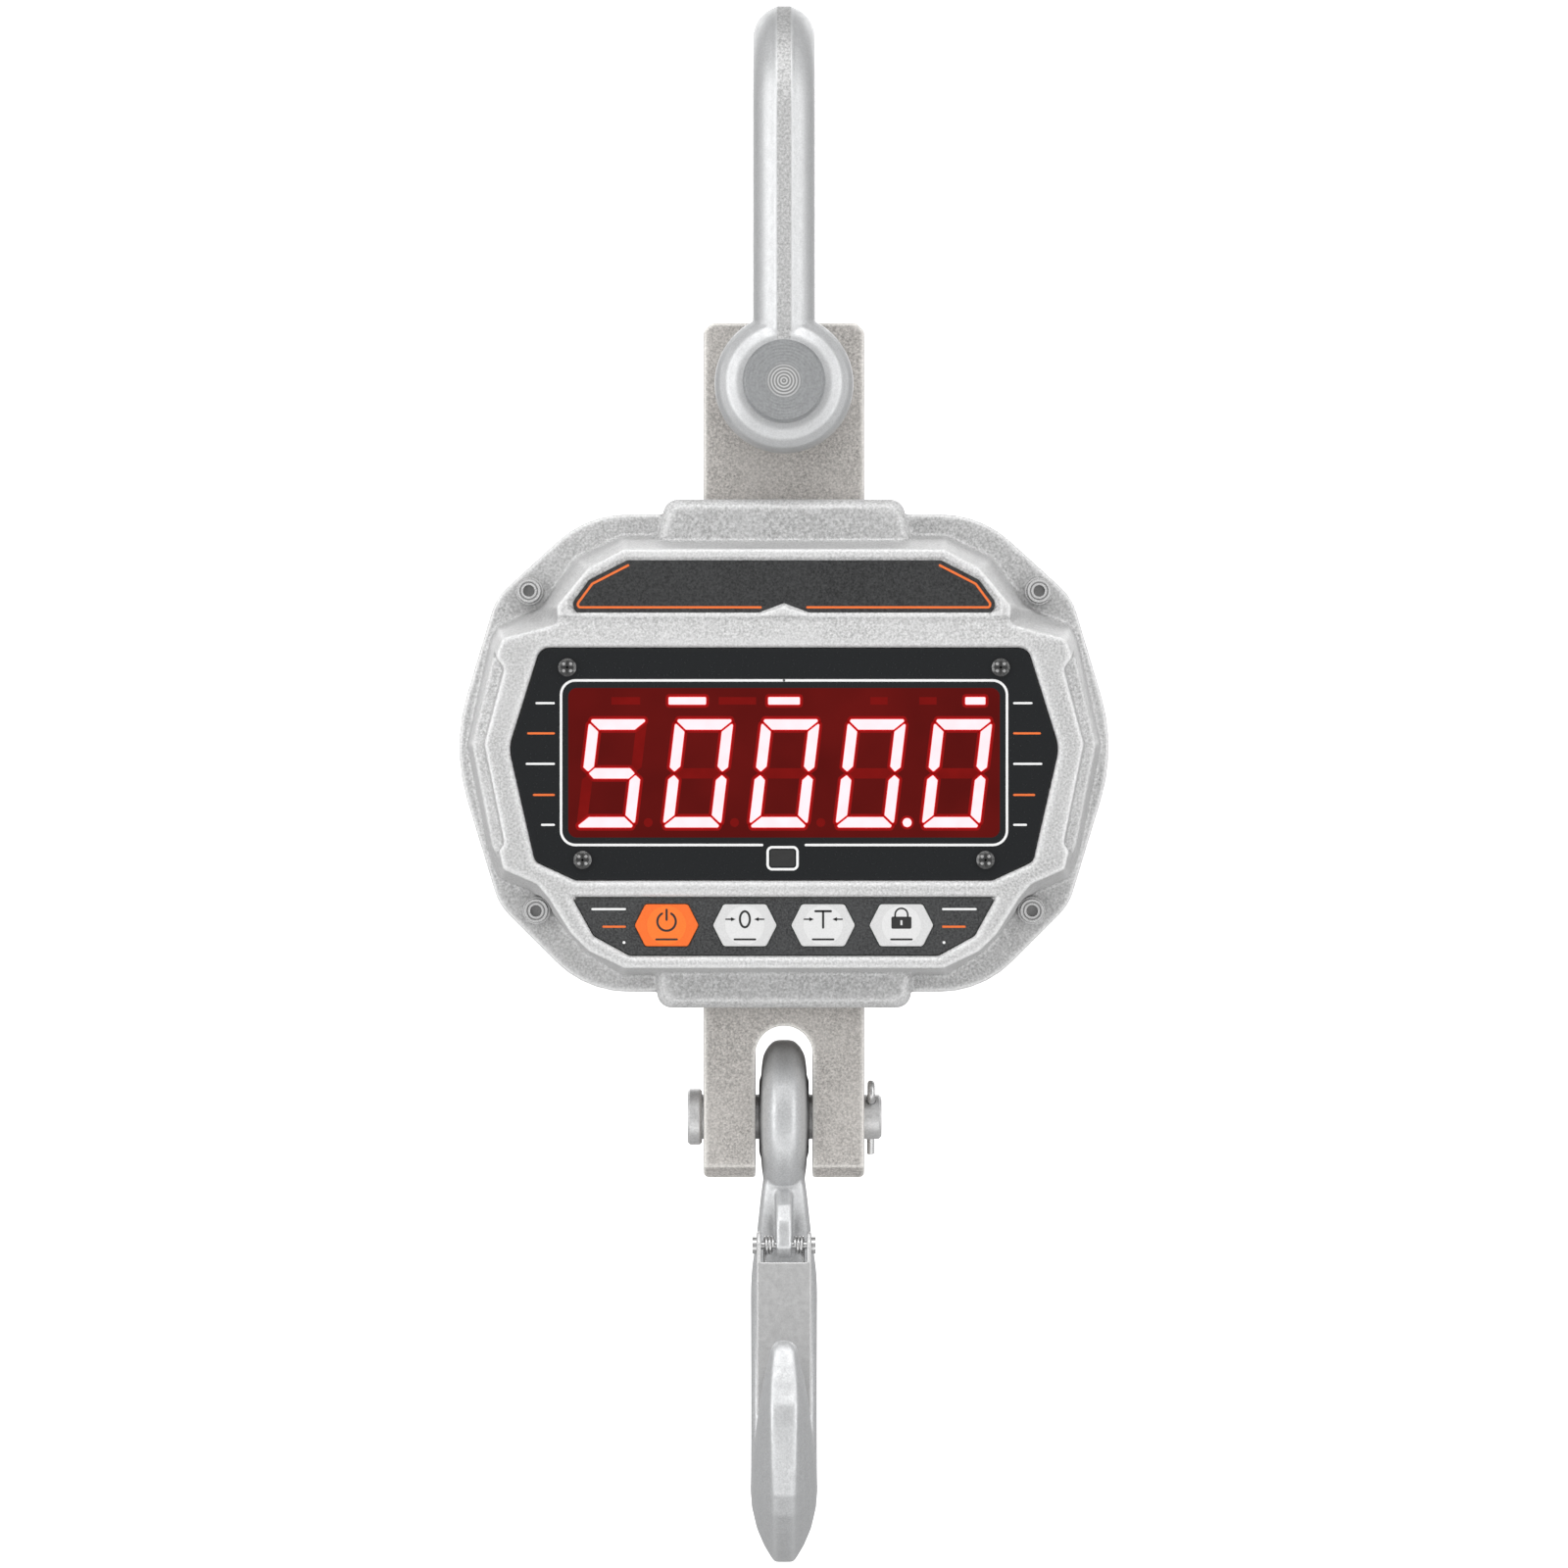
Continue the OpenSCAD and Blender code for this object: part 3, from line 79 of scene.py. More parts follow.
@dataclass(frozen=True)
class Outline:
    """A closed outline in the front plane, in millimetres: x to the right, z up, clockwise from the front."""

    points: tuple[Point, ...]

    @staticmethod
    def mirrored(side: list[Point]) -> "Outline":
        """Close a right-hand side, given from top to bottom, with its mirror image.

        Args:
            side: Points of the right-hand side.

        Returns:
            The whole outline.
        """
        return Outline(tuple(side) + tuple((-x, z) for x, z in reversed(side)))

    @staticmethod
    def circle(x: float, z: float, radius: float, steps: int = 40) -> "Outline":
        """Make a round outline.

        Args:
            x: Centre, to the right.
            z: Centre, up.
            radius: Radius.
            steps: Number of points.

        Returns:
            The outline.
        """
        turn = math.tau / steps
        return Outline(tuple((x + radius * math.sin(i * turn), z + radius * math.cos(i * turn))
                             for i in range(steps)))

    @staticmethod
    def rectangle(x: float, z: float, width: float, height: float) -> "Outline":
        """Make a rectangle about its centre."""
        w, h = width / 2, height / 2
        return Outline(((x + w, z + h), (x + w, z - h), (x - w, z - h), (x - w, z + h)))

    def inset(self, distance: float) -> "Outline":
        """Move every edge inwards.

        Args:
            distance: How far; a negative distance moves the edges outwards.

        Returns:
            The smaller outline, with as many points.
        """
        pts = [Vector(p) for p in self.points]
        n = len(pts)
        out: list[Point] = []
        for i, p in enumerate(pts):
            a = (p - pts[i - 1]).normalized()
            b = (pts[(i + 1) % n] - p).normalized()
            m, k = Vector((a.y, -a.x)), Vector((b.y, -b.x))
            q = p + (m + k) * (distance / (1 + m.dot(k)))
            out.append((q.x, q.y))
        return Outline(tuple(out))

    def rounded(self, radii: float | list[float], steps: int = 6) -> "Outline":
        """Round the corners.

        Args:
            radii: One radius for all corners, or one for each.
            steps: Number of segments in each corner.

        Returns:
            The rounded outline.
        """
        pts = [Vector(p) for p in self.points]
        n = len(pts)
        out: list[Point] = []
        for i, p in enumerate(pts):
            r = radii[i] if isinstance(radii, list) else radii
            u = (pts[i - 1] - p).normalized()
            v = (pts[(i + 1) % n] - p).normalized()
            half = math.acos(max(-1.0, min(1.0, u.dot(v)))) / 2
            centre = p + (u + v).normalized() * (r / math.sin(half))
            start = p + u * (r / math.tan(half)) - centre
            end = p + v * (r / math.tan(half)) - centre
            for s in range(steps + 1):
                t = s / steps
                q = centre + (start * (1 - t) + end * t).normalized() * r
                out.append((q.x, q.y))
        return Outline(tuple(out))

    def moved(self, x: float, z: float) -> "Outline":
        """Shift the outline."""
        return Outline(tuple((px + x, pz + z) for px, pz in self.points))

    def flipped_x(self, about: float) -> "Outline":
        """Mirror the outline left to right about an upright line."""
        return Outline(tuple((2 * about - x, z) for x, z in reversed(self.points)))

    def flipped_z(self, about: float) -> "Outline":
        """Mirror the outline top to bottom about a level line."""
        return Outline(tuple((x, 2 * about - z) for x, z in reversed(self.points)))

    def sheared(self, lean: float) -> "Outline":
        """Lean the outline to the right by a share of its height."""
        return Outline(tuple((x + z * lean, z) for x, z in self.points))


def stroke(path: list[Point], width: float, cap_steps: int = 5) -> Outline:
    """Draw a line of some width with round ends.

    Args:
        path: The line's points.
        width: Its width.
        cap_steps: Segments in each round end.

    Returns:
        The line's outline, clockwise.
    """
    pts = [Vector(p) for p in path]
    half = width / 2
    left: list[Point] = []
    right: list[Point] = []
    last = len(pts) - 1
    for i, p in enumerate(pts):
        a = (p - pts[i - 1]).normalized() if i > 0 else (pts[1] - p).normalized()
        b = (pts[i + 1] - p).normalized() if i < last else a
        m, k = Vector((-a.y, a.x)), Vector((-b.y, b.x))
        offset = (m + k) * (half / (1 + m.dot(k)))
        left.append((p.x + offset.x, p.y + offset.y))
        right.append((p.x - offset.x, p.y - offset.y))

    def cap(centre: Vector, direction: Vector) -> list[Point]:
        """Round one end, from its left to its right."""
        side = Vector((-direction.y, direction.x))
        turn = math.pi / cap_steps
        return [tuple(centre + side * (half * math.cos(s * turn)) + direction * (half * math.sin(s * turn)))
                for s in range(1, cap_steps)]

    end = cap(pts[-1], (pts[-1] - pts[-2]).normalized())
    start = cap(pts[0], (pts[0] - pts[1]).normalized())
    return Outline(tuple(left) + tuple(end) + tuple(reversed(right)) + tuple(start))


def arc(x: float, z: float, radius: float, start: float, end: float, steps: int = 20) -> list[Point]:
    """Sample an arc; angles are in degrees, clockwise from straight up.

    Args:
        x: Centre, to the right.
        z: Centre, up.
        radius: Radius.
        start: First angle.
        end: Last angle.
        steps: Number of segments.

    Returns:
        The arc's points.
    """
    angles = [math.radians(start + (end - start) * i / steps) for i in range(steps + 1)]
    return [(x + radius * math.sin(a), z + radius * math.cos(a)) for a in angles]


# ---------------------------------------------------------------- meshes


class MeshMaker:
    """Collects solids for one piece and turns them into a Blender object."""

    def __init__(self) -> None:
        """Start with nothing."""
        self.vertices: list[tuple[float, float, float]] = []
        self.faces: list[tuple[int, ...]] = []

    def ring(self, outline: Outline, y: float) -> list[int]:
        """Add an outline's points at a depth and return their indices."""
        first = len(self.vertices)
        self.vertices += [(x * MM, y * MM, z * MM) for x, z in outline.points]
        return list(range(first, len(self.vertices)))

    def bridge(self, a: list[int], b: list[int]) -> None:
        """Join two rings of as many points with faces."""
        n = len(a)
        for i in range(n):
            j = (i + 1) % n
            self.faces.append((a[i], a[j], b[j], b[i]))

    def plate(self, outer: Outline, y_front: float, y_back: float, edge: float = 0.0,
              holes: list[Outline] | None = None) -> None:
        """Add a plate that faces the front.

        Args:
            outer: Its outline.
            y_front: Depth of its front.
            y_back: Depth of its back.
            edge: Size of the chamfer round its front.
            holes: Outlines of its holes.
        """
        fronts: list[list[int]] = []
        backs: list[list[int]] = []
        outlines: list[Outline] = []
        for k, outline in enumerate([outer] + (holes or [])):
            grow = edge if k == 0 else -edge
            face = outline.inset(grow) if edge else outline
            rings = [self.ring(face, y_front)]
            if edge:
                rings.append(self.ring(outline, y_front + edge))
            rings.append(self.ring(outline, y_back))
            for a, b in zip(rings, rings[1:]):
                self.bridge(*((b, a) if k == 0 else (a, b)))
            fronts.append(rings[0])
            backs.append(rings[-1])
            outlines.append(face)
        flat = [[Vector((x, z, 0)) for x, z in o.points] for o in outlines]
        front = [i for ring in fronts for i in ring]
        back = [i for ring in backs for i in ring]
        for tri in tessellate_polygon(flat):
            a, b, c = (Vector((*self._xz(front[i]), 0)) for i in tri)
            order = tri if (b - a).cross(c - a).z < 0 else tuple(reversed(tri))
            self.faces.append(tuple(front[i] for i in reversed(order)))
            self.faces.append(tuple(back[i] for i in order))

    def _xz(self, i: int) -> Point:
        """Give a vertex's place in the front plane."""
        return self.vertices[i][0], self.vertices[i][2]

    def tube(self, path: list[Vector], radius: float, sides: int = 12) -> None:
        """Add a round wire along a path.

        Args:
            path: Points in metres.
            radius: The wire's radius in metres.
            sides: Sides of its section.
        """
        normal = (path[1] - path[0]).normalized().orthogonal().normalized()
        rings: list[list[int]] = []
        for i, p in enumerate(path):
            ahead = path[min(i + 1, len(path) - 1)]
            behind = path[max(i - 1, 0)]
            direction = (ahead - behind).normalized()
            normal = (normal - direction * normal.dot(direction)).normalized()
            across = direction.cross(normal)
            first = len(self.vertices)
            for s in range(sides):
                a = math.tau * s / sides
                q = p + normal * (radius * math.cos(a)) + across * (radius * math.sin(a))
                self.vertices.append(tuple(q))
            rings.append(list(range(first, first + sides)))
        for a, b in zip(rings, rings[1:]):
            self.bridge(a, b)
        self.faces.append(tuple(reversed(rings[0])))
        self.faces.append(tuple(rings[-1]))

    def build(self, name: str, smooth_angle: float = 35.0) -> bpy.types.Object:
        """Make the object.

        Args:
            name: The piece's name.
            smooth_angle: Edges sharper than this stay sharp, in degrees.

        Returns:
            The new object.
        """
        mesh = bpy.data.meshes.new(name)
        mesh.from_pydata(self.vertices, [], self.faces)
        work = bmesh.new()
        work.from_mesh(mesh)
        bmesh.ops.recalc_face_normals(work, faces=work.faces)
        work.to_mesh(mesh)
        work.free()
        piece = bpy.data.objects.new(name, mesh)
        bpy.context.collection.objects.link(piece)
        shade(piece, smooth_angle)
        return piece


def shade(piece: bpy.types.Object, angle: float) -> None:
    """Shade a piece smooth, with edges sharper than an angle kept sharp.

    Args:
        piece: The piece.
        angle: The angle in degrees.
    """
    mesh = piece.data
    mesh.polygons.foreach_set("use_smooth", [True] * len(mesh.polygons))
    mesh.set_sharp_from_angle(angle=math.radians(angle))


def recast(node: str, name: str, voxel_mm: float, passes: int) -> bpy.types.Object:
    """Copy a CAD node's shape and round all its edges and corners, as a casting or forging has them.

    Args:
        node: The CAD node.
        name: The new piece's name.
        voxel_mm: The size of the new surface's cells.
        passes: How often the surface is smoothed.

    Returns:
        The new piece.
    """
    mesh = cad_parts[node].data.copy()
    mesh.name = name
    mesh.materials.clear()
    work = bmesh.new()
    work.from_mesh(mesh)
    bmesh.ops.remove_doubles(work, verts=work.verts, dist=1e-7)
    work.to_mesh(mesh)
    work.free()
    piece = bpy.data.objects.new(name, mesh)
    bpy.context.collection.objects.link(piece)
    remesh = piece.modifiers.new("cells", "REMESH")
    remesh.mode = "VOXEL"
    remesh.voxel_size = voxel_mm * MM
    soften = piece.modifiers.new("soften", "SMOOTH")
    soften.factor = 0.5
    soften.iterations = passes
    done = piece.evaluated_get(bpy.context.evaluated_depsgraph_get())
    baked = bpy.data.meshes.new_from_object(done)
    piece.modifiers.clear()
    piece.data = baked
    baked.name = name
    baked.polygons.foreach_set("use_smooth", [True] * len(baked.polygons))
    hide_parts(node)
    return piece


# ---------------------------------------------------------------- finishes


def grey(level: float, tint: float = 0.0) -> Color:
    """Give a grey, warmer for a positive tint."""
    return (level * (1 + tint), level, level * (1 - tint))


class Graph:
    """Short ways to add the nodes of one material."""

    def __init__(self, name: str) -> None:
        """Make the material with an empty principled shader.

        Args:
            name: The material's name.
        """
        self.material = bpy.data.materials.new(name)
        self.material.use_nodes = True
        self.tree = self.material.node_tree
        self.shader = self.tree.nodes["Principled BSDF"]
        self.place = self.tree.nodes.new("ShaderNodeTexCoord").outputs["Object"]

    def link(self, out: bpy.types.NodeSocket, into: bpy.types.NodeSocket) -> None:
        """Link two sockets."""
        self.tree.links.new(out, into)

    def noise(self, size_mm: float, detail: float = 2.0, stretch: tuple[float, float, float] = (1, 1, 1),
              rough: float = 0.5) -> bpy.types.NodeSocket:
        """Add noise of about the given grain.

        Args:
            size_mm: Size of the grain.
            detail: Octaves.
            stretch: Scale along each axis.
            rough: Strength of the finer octaves.

        Returns:
            The noise's value.
        """
        mapping = self.tree.nodes.new("ShaderNodeMapping")
        mapping.inputs["Scale"].default_value = stretch
        self.link(self.place, mapping.inputs["Vector"])
        node = self.tree.nodes.new("ShaderNodeTexNoise")
        node.inputs["Scale"].default_value = 1 / (size_mm * MM)
        node.inputs["Detail"].default_value = detail
        node.inputs["Roughness"].default_value = rough
        self.link(mapping.outputs["Vector"], node.inputs["Vector"])
        return node.outputs["Fac"]

    def rings(self, centre: tuple[float, float, float], pitch_mm: float, axis: str) -> bpy.types.NodeSocket:
        """Add the rings that a lathe leaves round an axis.

        Args:
            centre: A point on the axis, in metres.
            pitch_mm: Distance between rings.
            axis: X, Y or Z.

        Returns:
            The rings' value.
        """
        mapping = self.tree.nodes.new("ShaderNodeMapping")
        mapping.inputs["Location"].default_value = tuple(-c for c in centre)
        self.link(self.place, mapping.inputs["Vector"])
        node = self.tree.nodes.new("ShaderNodeTexWave")
        node.wave_type = "RINGS"
        node.rings_direction = axis
        node.inputs["Scale"].default_value = 0.314 / (pitch_mm * MM)
        node.inputs["Distortion"].default_value = 0.6
        self.link(mapping.outputs["Vector"], node.inputs["Vector"])
        return node.outputs["Fac"]

    def radius(self, centre: tuple[float, float, float], axis: str) -> bpy.types.NodeSocket:
        """Give the distance from an axis.

        Args:
            centre: A point on the axis, in metres.
            axis: X, Y or Z.

        Returns:
            The distance in metres.
        """
        mapping = self.tree.nodes.new("ShaderNodeMapping")
        scale = tuple(0.0 if letter == axis else 1.0 for letter in "XYZ")
        mapping.inputs["Location"].default_value = tuple(-c * s for c, s in zip(centre, scale))
        mapping.inputs["Scale"].default_value = scale
        self.link(self.place, mapping.inputs["Vector"])
        length = self.tree.nodes.new("ShaderNodeVectorMath")
        length.operation = "LENGTH"
        self.link(mapping.outputs["Vector"], length.inputs[0])
        return length.outputs["Value"]

    def between(self, value: bpy.types.NodeSocket, low: float, high: float, up: bool) -> bpy.types.NodeSocket:
        """Fade from one limit to the other.

        Args:
            value: The value that is compared.
            low: The lower limit.
            high: The upper limit.
            up: True to fade from 0 to 1, false from 1 to 0.

        Returns:
            The share.
        """
        node = self.tree.nodes.new("ShaderNodeMapRange")
        node.inputs["From Min"].default_value = low
        node.inputs["From Max"].default_value = high
        node.inputs["To Min"].default_value = 0.0 if up else 1.0
        node.inputs["To Max"].default_value = 1.0 if up else 0.0
        self.link(value, node.inputs["Value"])
        return node.outputs["Result"]

    def disc(self, centre: tuple[float, float, float], axis: str, radius_mm: float) -> bpy.types.NodeSocket:
        """Mask what lies near an axis."""
        return self.between(self.radius(centre, axis), radius_mm * 0.8 * MM, radius_mm * 1.2 * MM, False)

    def strip(self, half_mm: float, above: float) -> bpy.types.NodeSocket:
        """Mask an upright strip along the middle plane.

        Args:
            half_mm: Half the strip's width.
            above: The height in metres where it starts.

        Returns:
            The mask.
        """
        split = self.tree.nodes.new("ShaderNodeSeparateXYZ")
        self.link(self.place, split.inputs["Vector"])
        size = self.tree.nodes.new("ShaderNodeMath")
        size.operation = "ABSOLUTE"
        self.link(split.outputs["X"], size.inputs[0])
        middle = self.between(size.outputs["Value"], half_mm * MM, (half_mm + 0.25) * MM, False)
        high = self.between(split.outputs["Z"], above, above + 0.001, True)
        both = self.tree.nodes.new("ShaderNodeMath")
        both.operation = "MULTIPLY"
        self.link(middle, both.inputs[0])
        self.link(high, both.inputs[1])
        return both.outputs["Value"]

    def ramp(self, value: bpy.types.NodeSocket, stops: list[tuple[float, float]]) -> bpy.types.NodeSocket:
        """Map a value through a curve of straight lines.

        Args:
            value: What is mapped.
            stops: Pairs of place and level.

        Returns:
            The mapped value.
        """
        node = self.tree.nodes.new("ShaderNodeValToRGB")
        while len(node.color_ramp.elements) < len(stops):
            node.color_ramp.elements.new(0.5)
        for element, (place, level) in zip(node.color_ramp.elements, stops):
            element.position = place
            element.color = (level, level, level, 1)
        self.link(value, node.inputs["Fac"])
        return node.outputs["Color"]

    def blend(self, share: bpy.types.NodeSocket, a: object, b: object) -> bpy.types.NodeSocket:
        """Mix two colours, each a colour or a socket.

        Args:
            share: How much of the second.
            a: The first.
            b: The second.

        Returns:
            The mixed colour.
        """
        node = self.tree.nodes.new("ShaderNodeMix")
        node.data_type = "RGBA"
        self.link(share, node.inputs["Factor"])
        for value, socket in ((a, node.inputs["A"]), (b, node.inputs["B"])):
            if isinstance(value, tuple):
                socket.default_value = (*value, 1)
            else:
                self.link(value, socket)
        return node.outputs["Result"]

    def bump(self, height: bpy.types.NodeSocket, depth_mm: float,
             below: bpy.types.NodeSocket | None = None) -> bpy.types.NodeSocket:
        """Raise the surface by a value.

        Args:
            height: The value.
            depth_mm: The height that a value of 1 stands for.
            below: A normal that this one adds to.

        Returns:
            The normal.
        """
        node = self.tree.nodes.new("ShaderNodeBump")
        node.inputs["Distance"].default_value = depth_mm * MM
        self.link(height, node.inputs["Height"])
        if below is not None:
            self.link(below, node.inputs["Normal"])
        return node.outputs["Normal"]

    def pointiness(self) -> bpy.types.NodeSocket:
        """Give how convex the surface is."""
        return self.tree.nodes.new("ShaderNodeNewGeometry").outputs["Pointiness"]


@dataclass(frozen=True)
class Finish:
    """A grained surface: metal, paint, plastic or rubber."""

    name: str
    light: Color
    dark: Color
    metallic: float = 0.0
    rough: tuple[float, float] = (0.4, 0.55)
    grain_mm: float = 0.5
    grain_depth: float = 0.01
    grain_mix: float = 0.5
    patch_mm: float = 20.0
    stretch: tuple[float, float, float] = (1, 1, 1)
    wear_and_edge_highlight: float = 0.0
    gloss: float = 0.5
    strip_mm: float = 0.0
    strip_above: float = 0.0

    def build(self) -> bpy.types.Material:
        """Make the material.

        Returns:
            The new material.
        """
        g = Graph(self.name)
        grain = g.noise(self.grain_mm, 3.0, self.stretch, 0.65)
        patch = g.noise(self.patch_mm, 3.0)
        low, high = 0.5 - 0.5 * self.grain_mix, 0.5 + 0.5 * self.grain_mix
        share = g.ramp(grain, [(0.3, high), (0.7, low)])
        colour = g.blend(share, self.light, self.dark)
        dimmed = tuple(c * 0.88 for c in self.light)
        colour = g.blend(g.ramp(patch, [(0.42, 0.0), (0.72, 0.35)]), colour, dimmed)
        # Convex edges get a lighter colour: painted highlight where edges catch light, together with edge
        # wear.
        if self.wear_and_edge_highlight:
            edge = g.ramp(g.pointiness(), [(0.5, 0.0), (0.56, self.wear_and_edge_highlight)])
            bright = tuple(min(1.0, c * 1.35 + 0.04) for c in self.light)
            colour = g.blend(edge, colour, bright)
        cloud = g.noise(self.grain_mm * 3, 2.0, self.stretch)
        rough = g.ramp(cloud, [(0.3, self.rough[0]), (0.7, self.rough[1])])
        normal = g.bump(grain, self.grain_depth)
        if self.strip_mm:
            strip = g.strip(self.strip_mm, self.strip_above)
            coarse = g.noise(0.9, 3.0, (1, 1, 1), 0.7)
            ground = g.blend(g.ramp(coarse, [(0.35, 0.0), (0.65, 1.0)]), grey(0.66), grey(0.36))
            colour = g.blend(strip, colour, ground)
            rough = g.blend(strip, rough, grey(0.62))
        g.link(colour, g.shader.inputs["Base Color"])
        g.link(rough, g.shader.inputs["Roughness"])
        g.link(normal, g.shader.inputs["Normal"])
        g.shader.inputs["Metallic"].default_value = self.metallic
        g.shader.inputs["Specular IOR Level"].default_value = self.gloss
        return g.material


@dataclass(frozen=True)
class TurnedFinish:
    """A turned steel pin: lathe rings all over and a bright facing mark in the middle of its end."""

    name: str
    centre: tuple[float, float, float]
    axis: str
    light: Color
    dark: Color
    mark_mm: float = 5.5
    pitch_mm: float = 1.1

    def build(self) -> bpy.types.Material:
        """Make the material.

        Returns:
            The new material.
        """
        g = Graph(self.name)
        rings = g.rings(self.centre, self.pitch_mm, self.axis)
        mark = g.disc(self.centre, self.axis, self.mark_mm)
        fine = g.noise(0.7, 3.0)
        colour = g.blend(g.ramp(fine, [(0.3, 0.0), (0.7, 1.0)]), self.light, self.dark)
        shiny = g.blend(g.ramp(rings, [(0.3, 0.0), (0.7, 1.0)]), grey(0.95), grey(0.40))
        g.link(g.blend(mark, colour, shiny), g.shader.inputs["Base Color"])
        g.link(g.blend(mark, grey(0.5), grey(0.28)), g.shader.inputs["Roughness"])
        g.link(g.bump(rings, 0.04, g.bump(fine, 0.01)), g.shader.inputs["Normal"])
        g.shader.inputs["Metallic"].default_value = 0.85
        return g.material


@dataclass(frozen=True)
class Glow:
    """An emissive print or segment: the lit segments are the display's lamps, while the glow of the red
    field, of the unlit segments and of the rims and halos round lit shapes is painted light.
    """

    name: str
    base: Color
    light: Color
    strength: float
    variation: float = 0.15
    patch_mm: float = 6.0

    def build(self) -> bpy.types.Material:
        """Make the material.

        Returns:
            The new material.
        """
        g = Graph(self.name)
        patch = g.ramp(g.noise(self.patch_mm, 2.0), [(0.3, 0.0), (0.7, 1.0)])
        dim = tuple(c * (1 - self.variation) for c in self.light)
        g.link(g.blend(patch, self.light, dim), g.shader.inputs["Emission Color"])
        g.link(g.blend(patch, self.base, tuple(c * 0.8 for c in self.base)), g.shader.inputs["Base Color"])
        g.shader.inputs["Emission Strength"].default_value = self.strength
        g.shader.inputs["Roughness"].default_value = 0.35
        g.shader.inputs["Specular IOR Level"].default_value = 0.08
        return g.material


AnyFinish = Finish | TurnedFinish | Glow


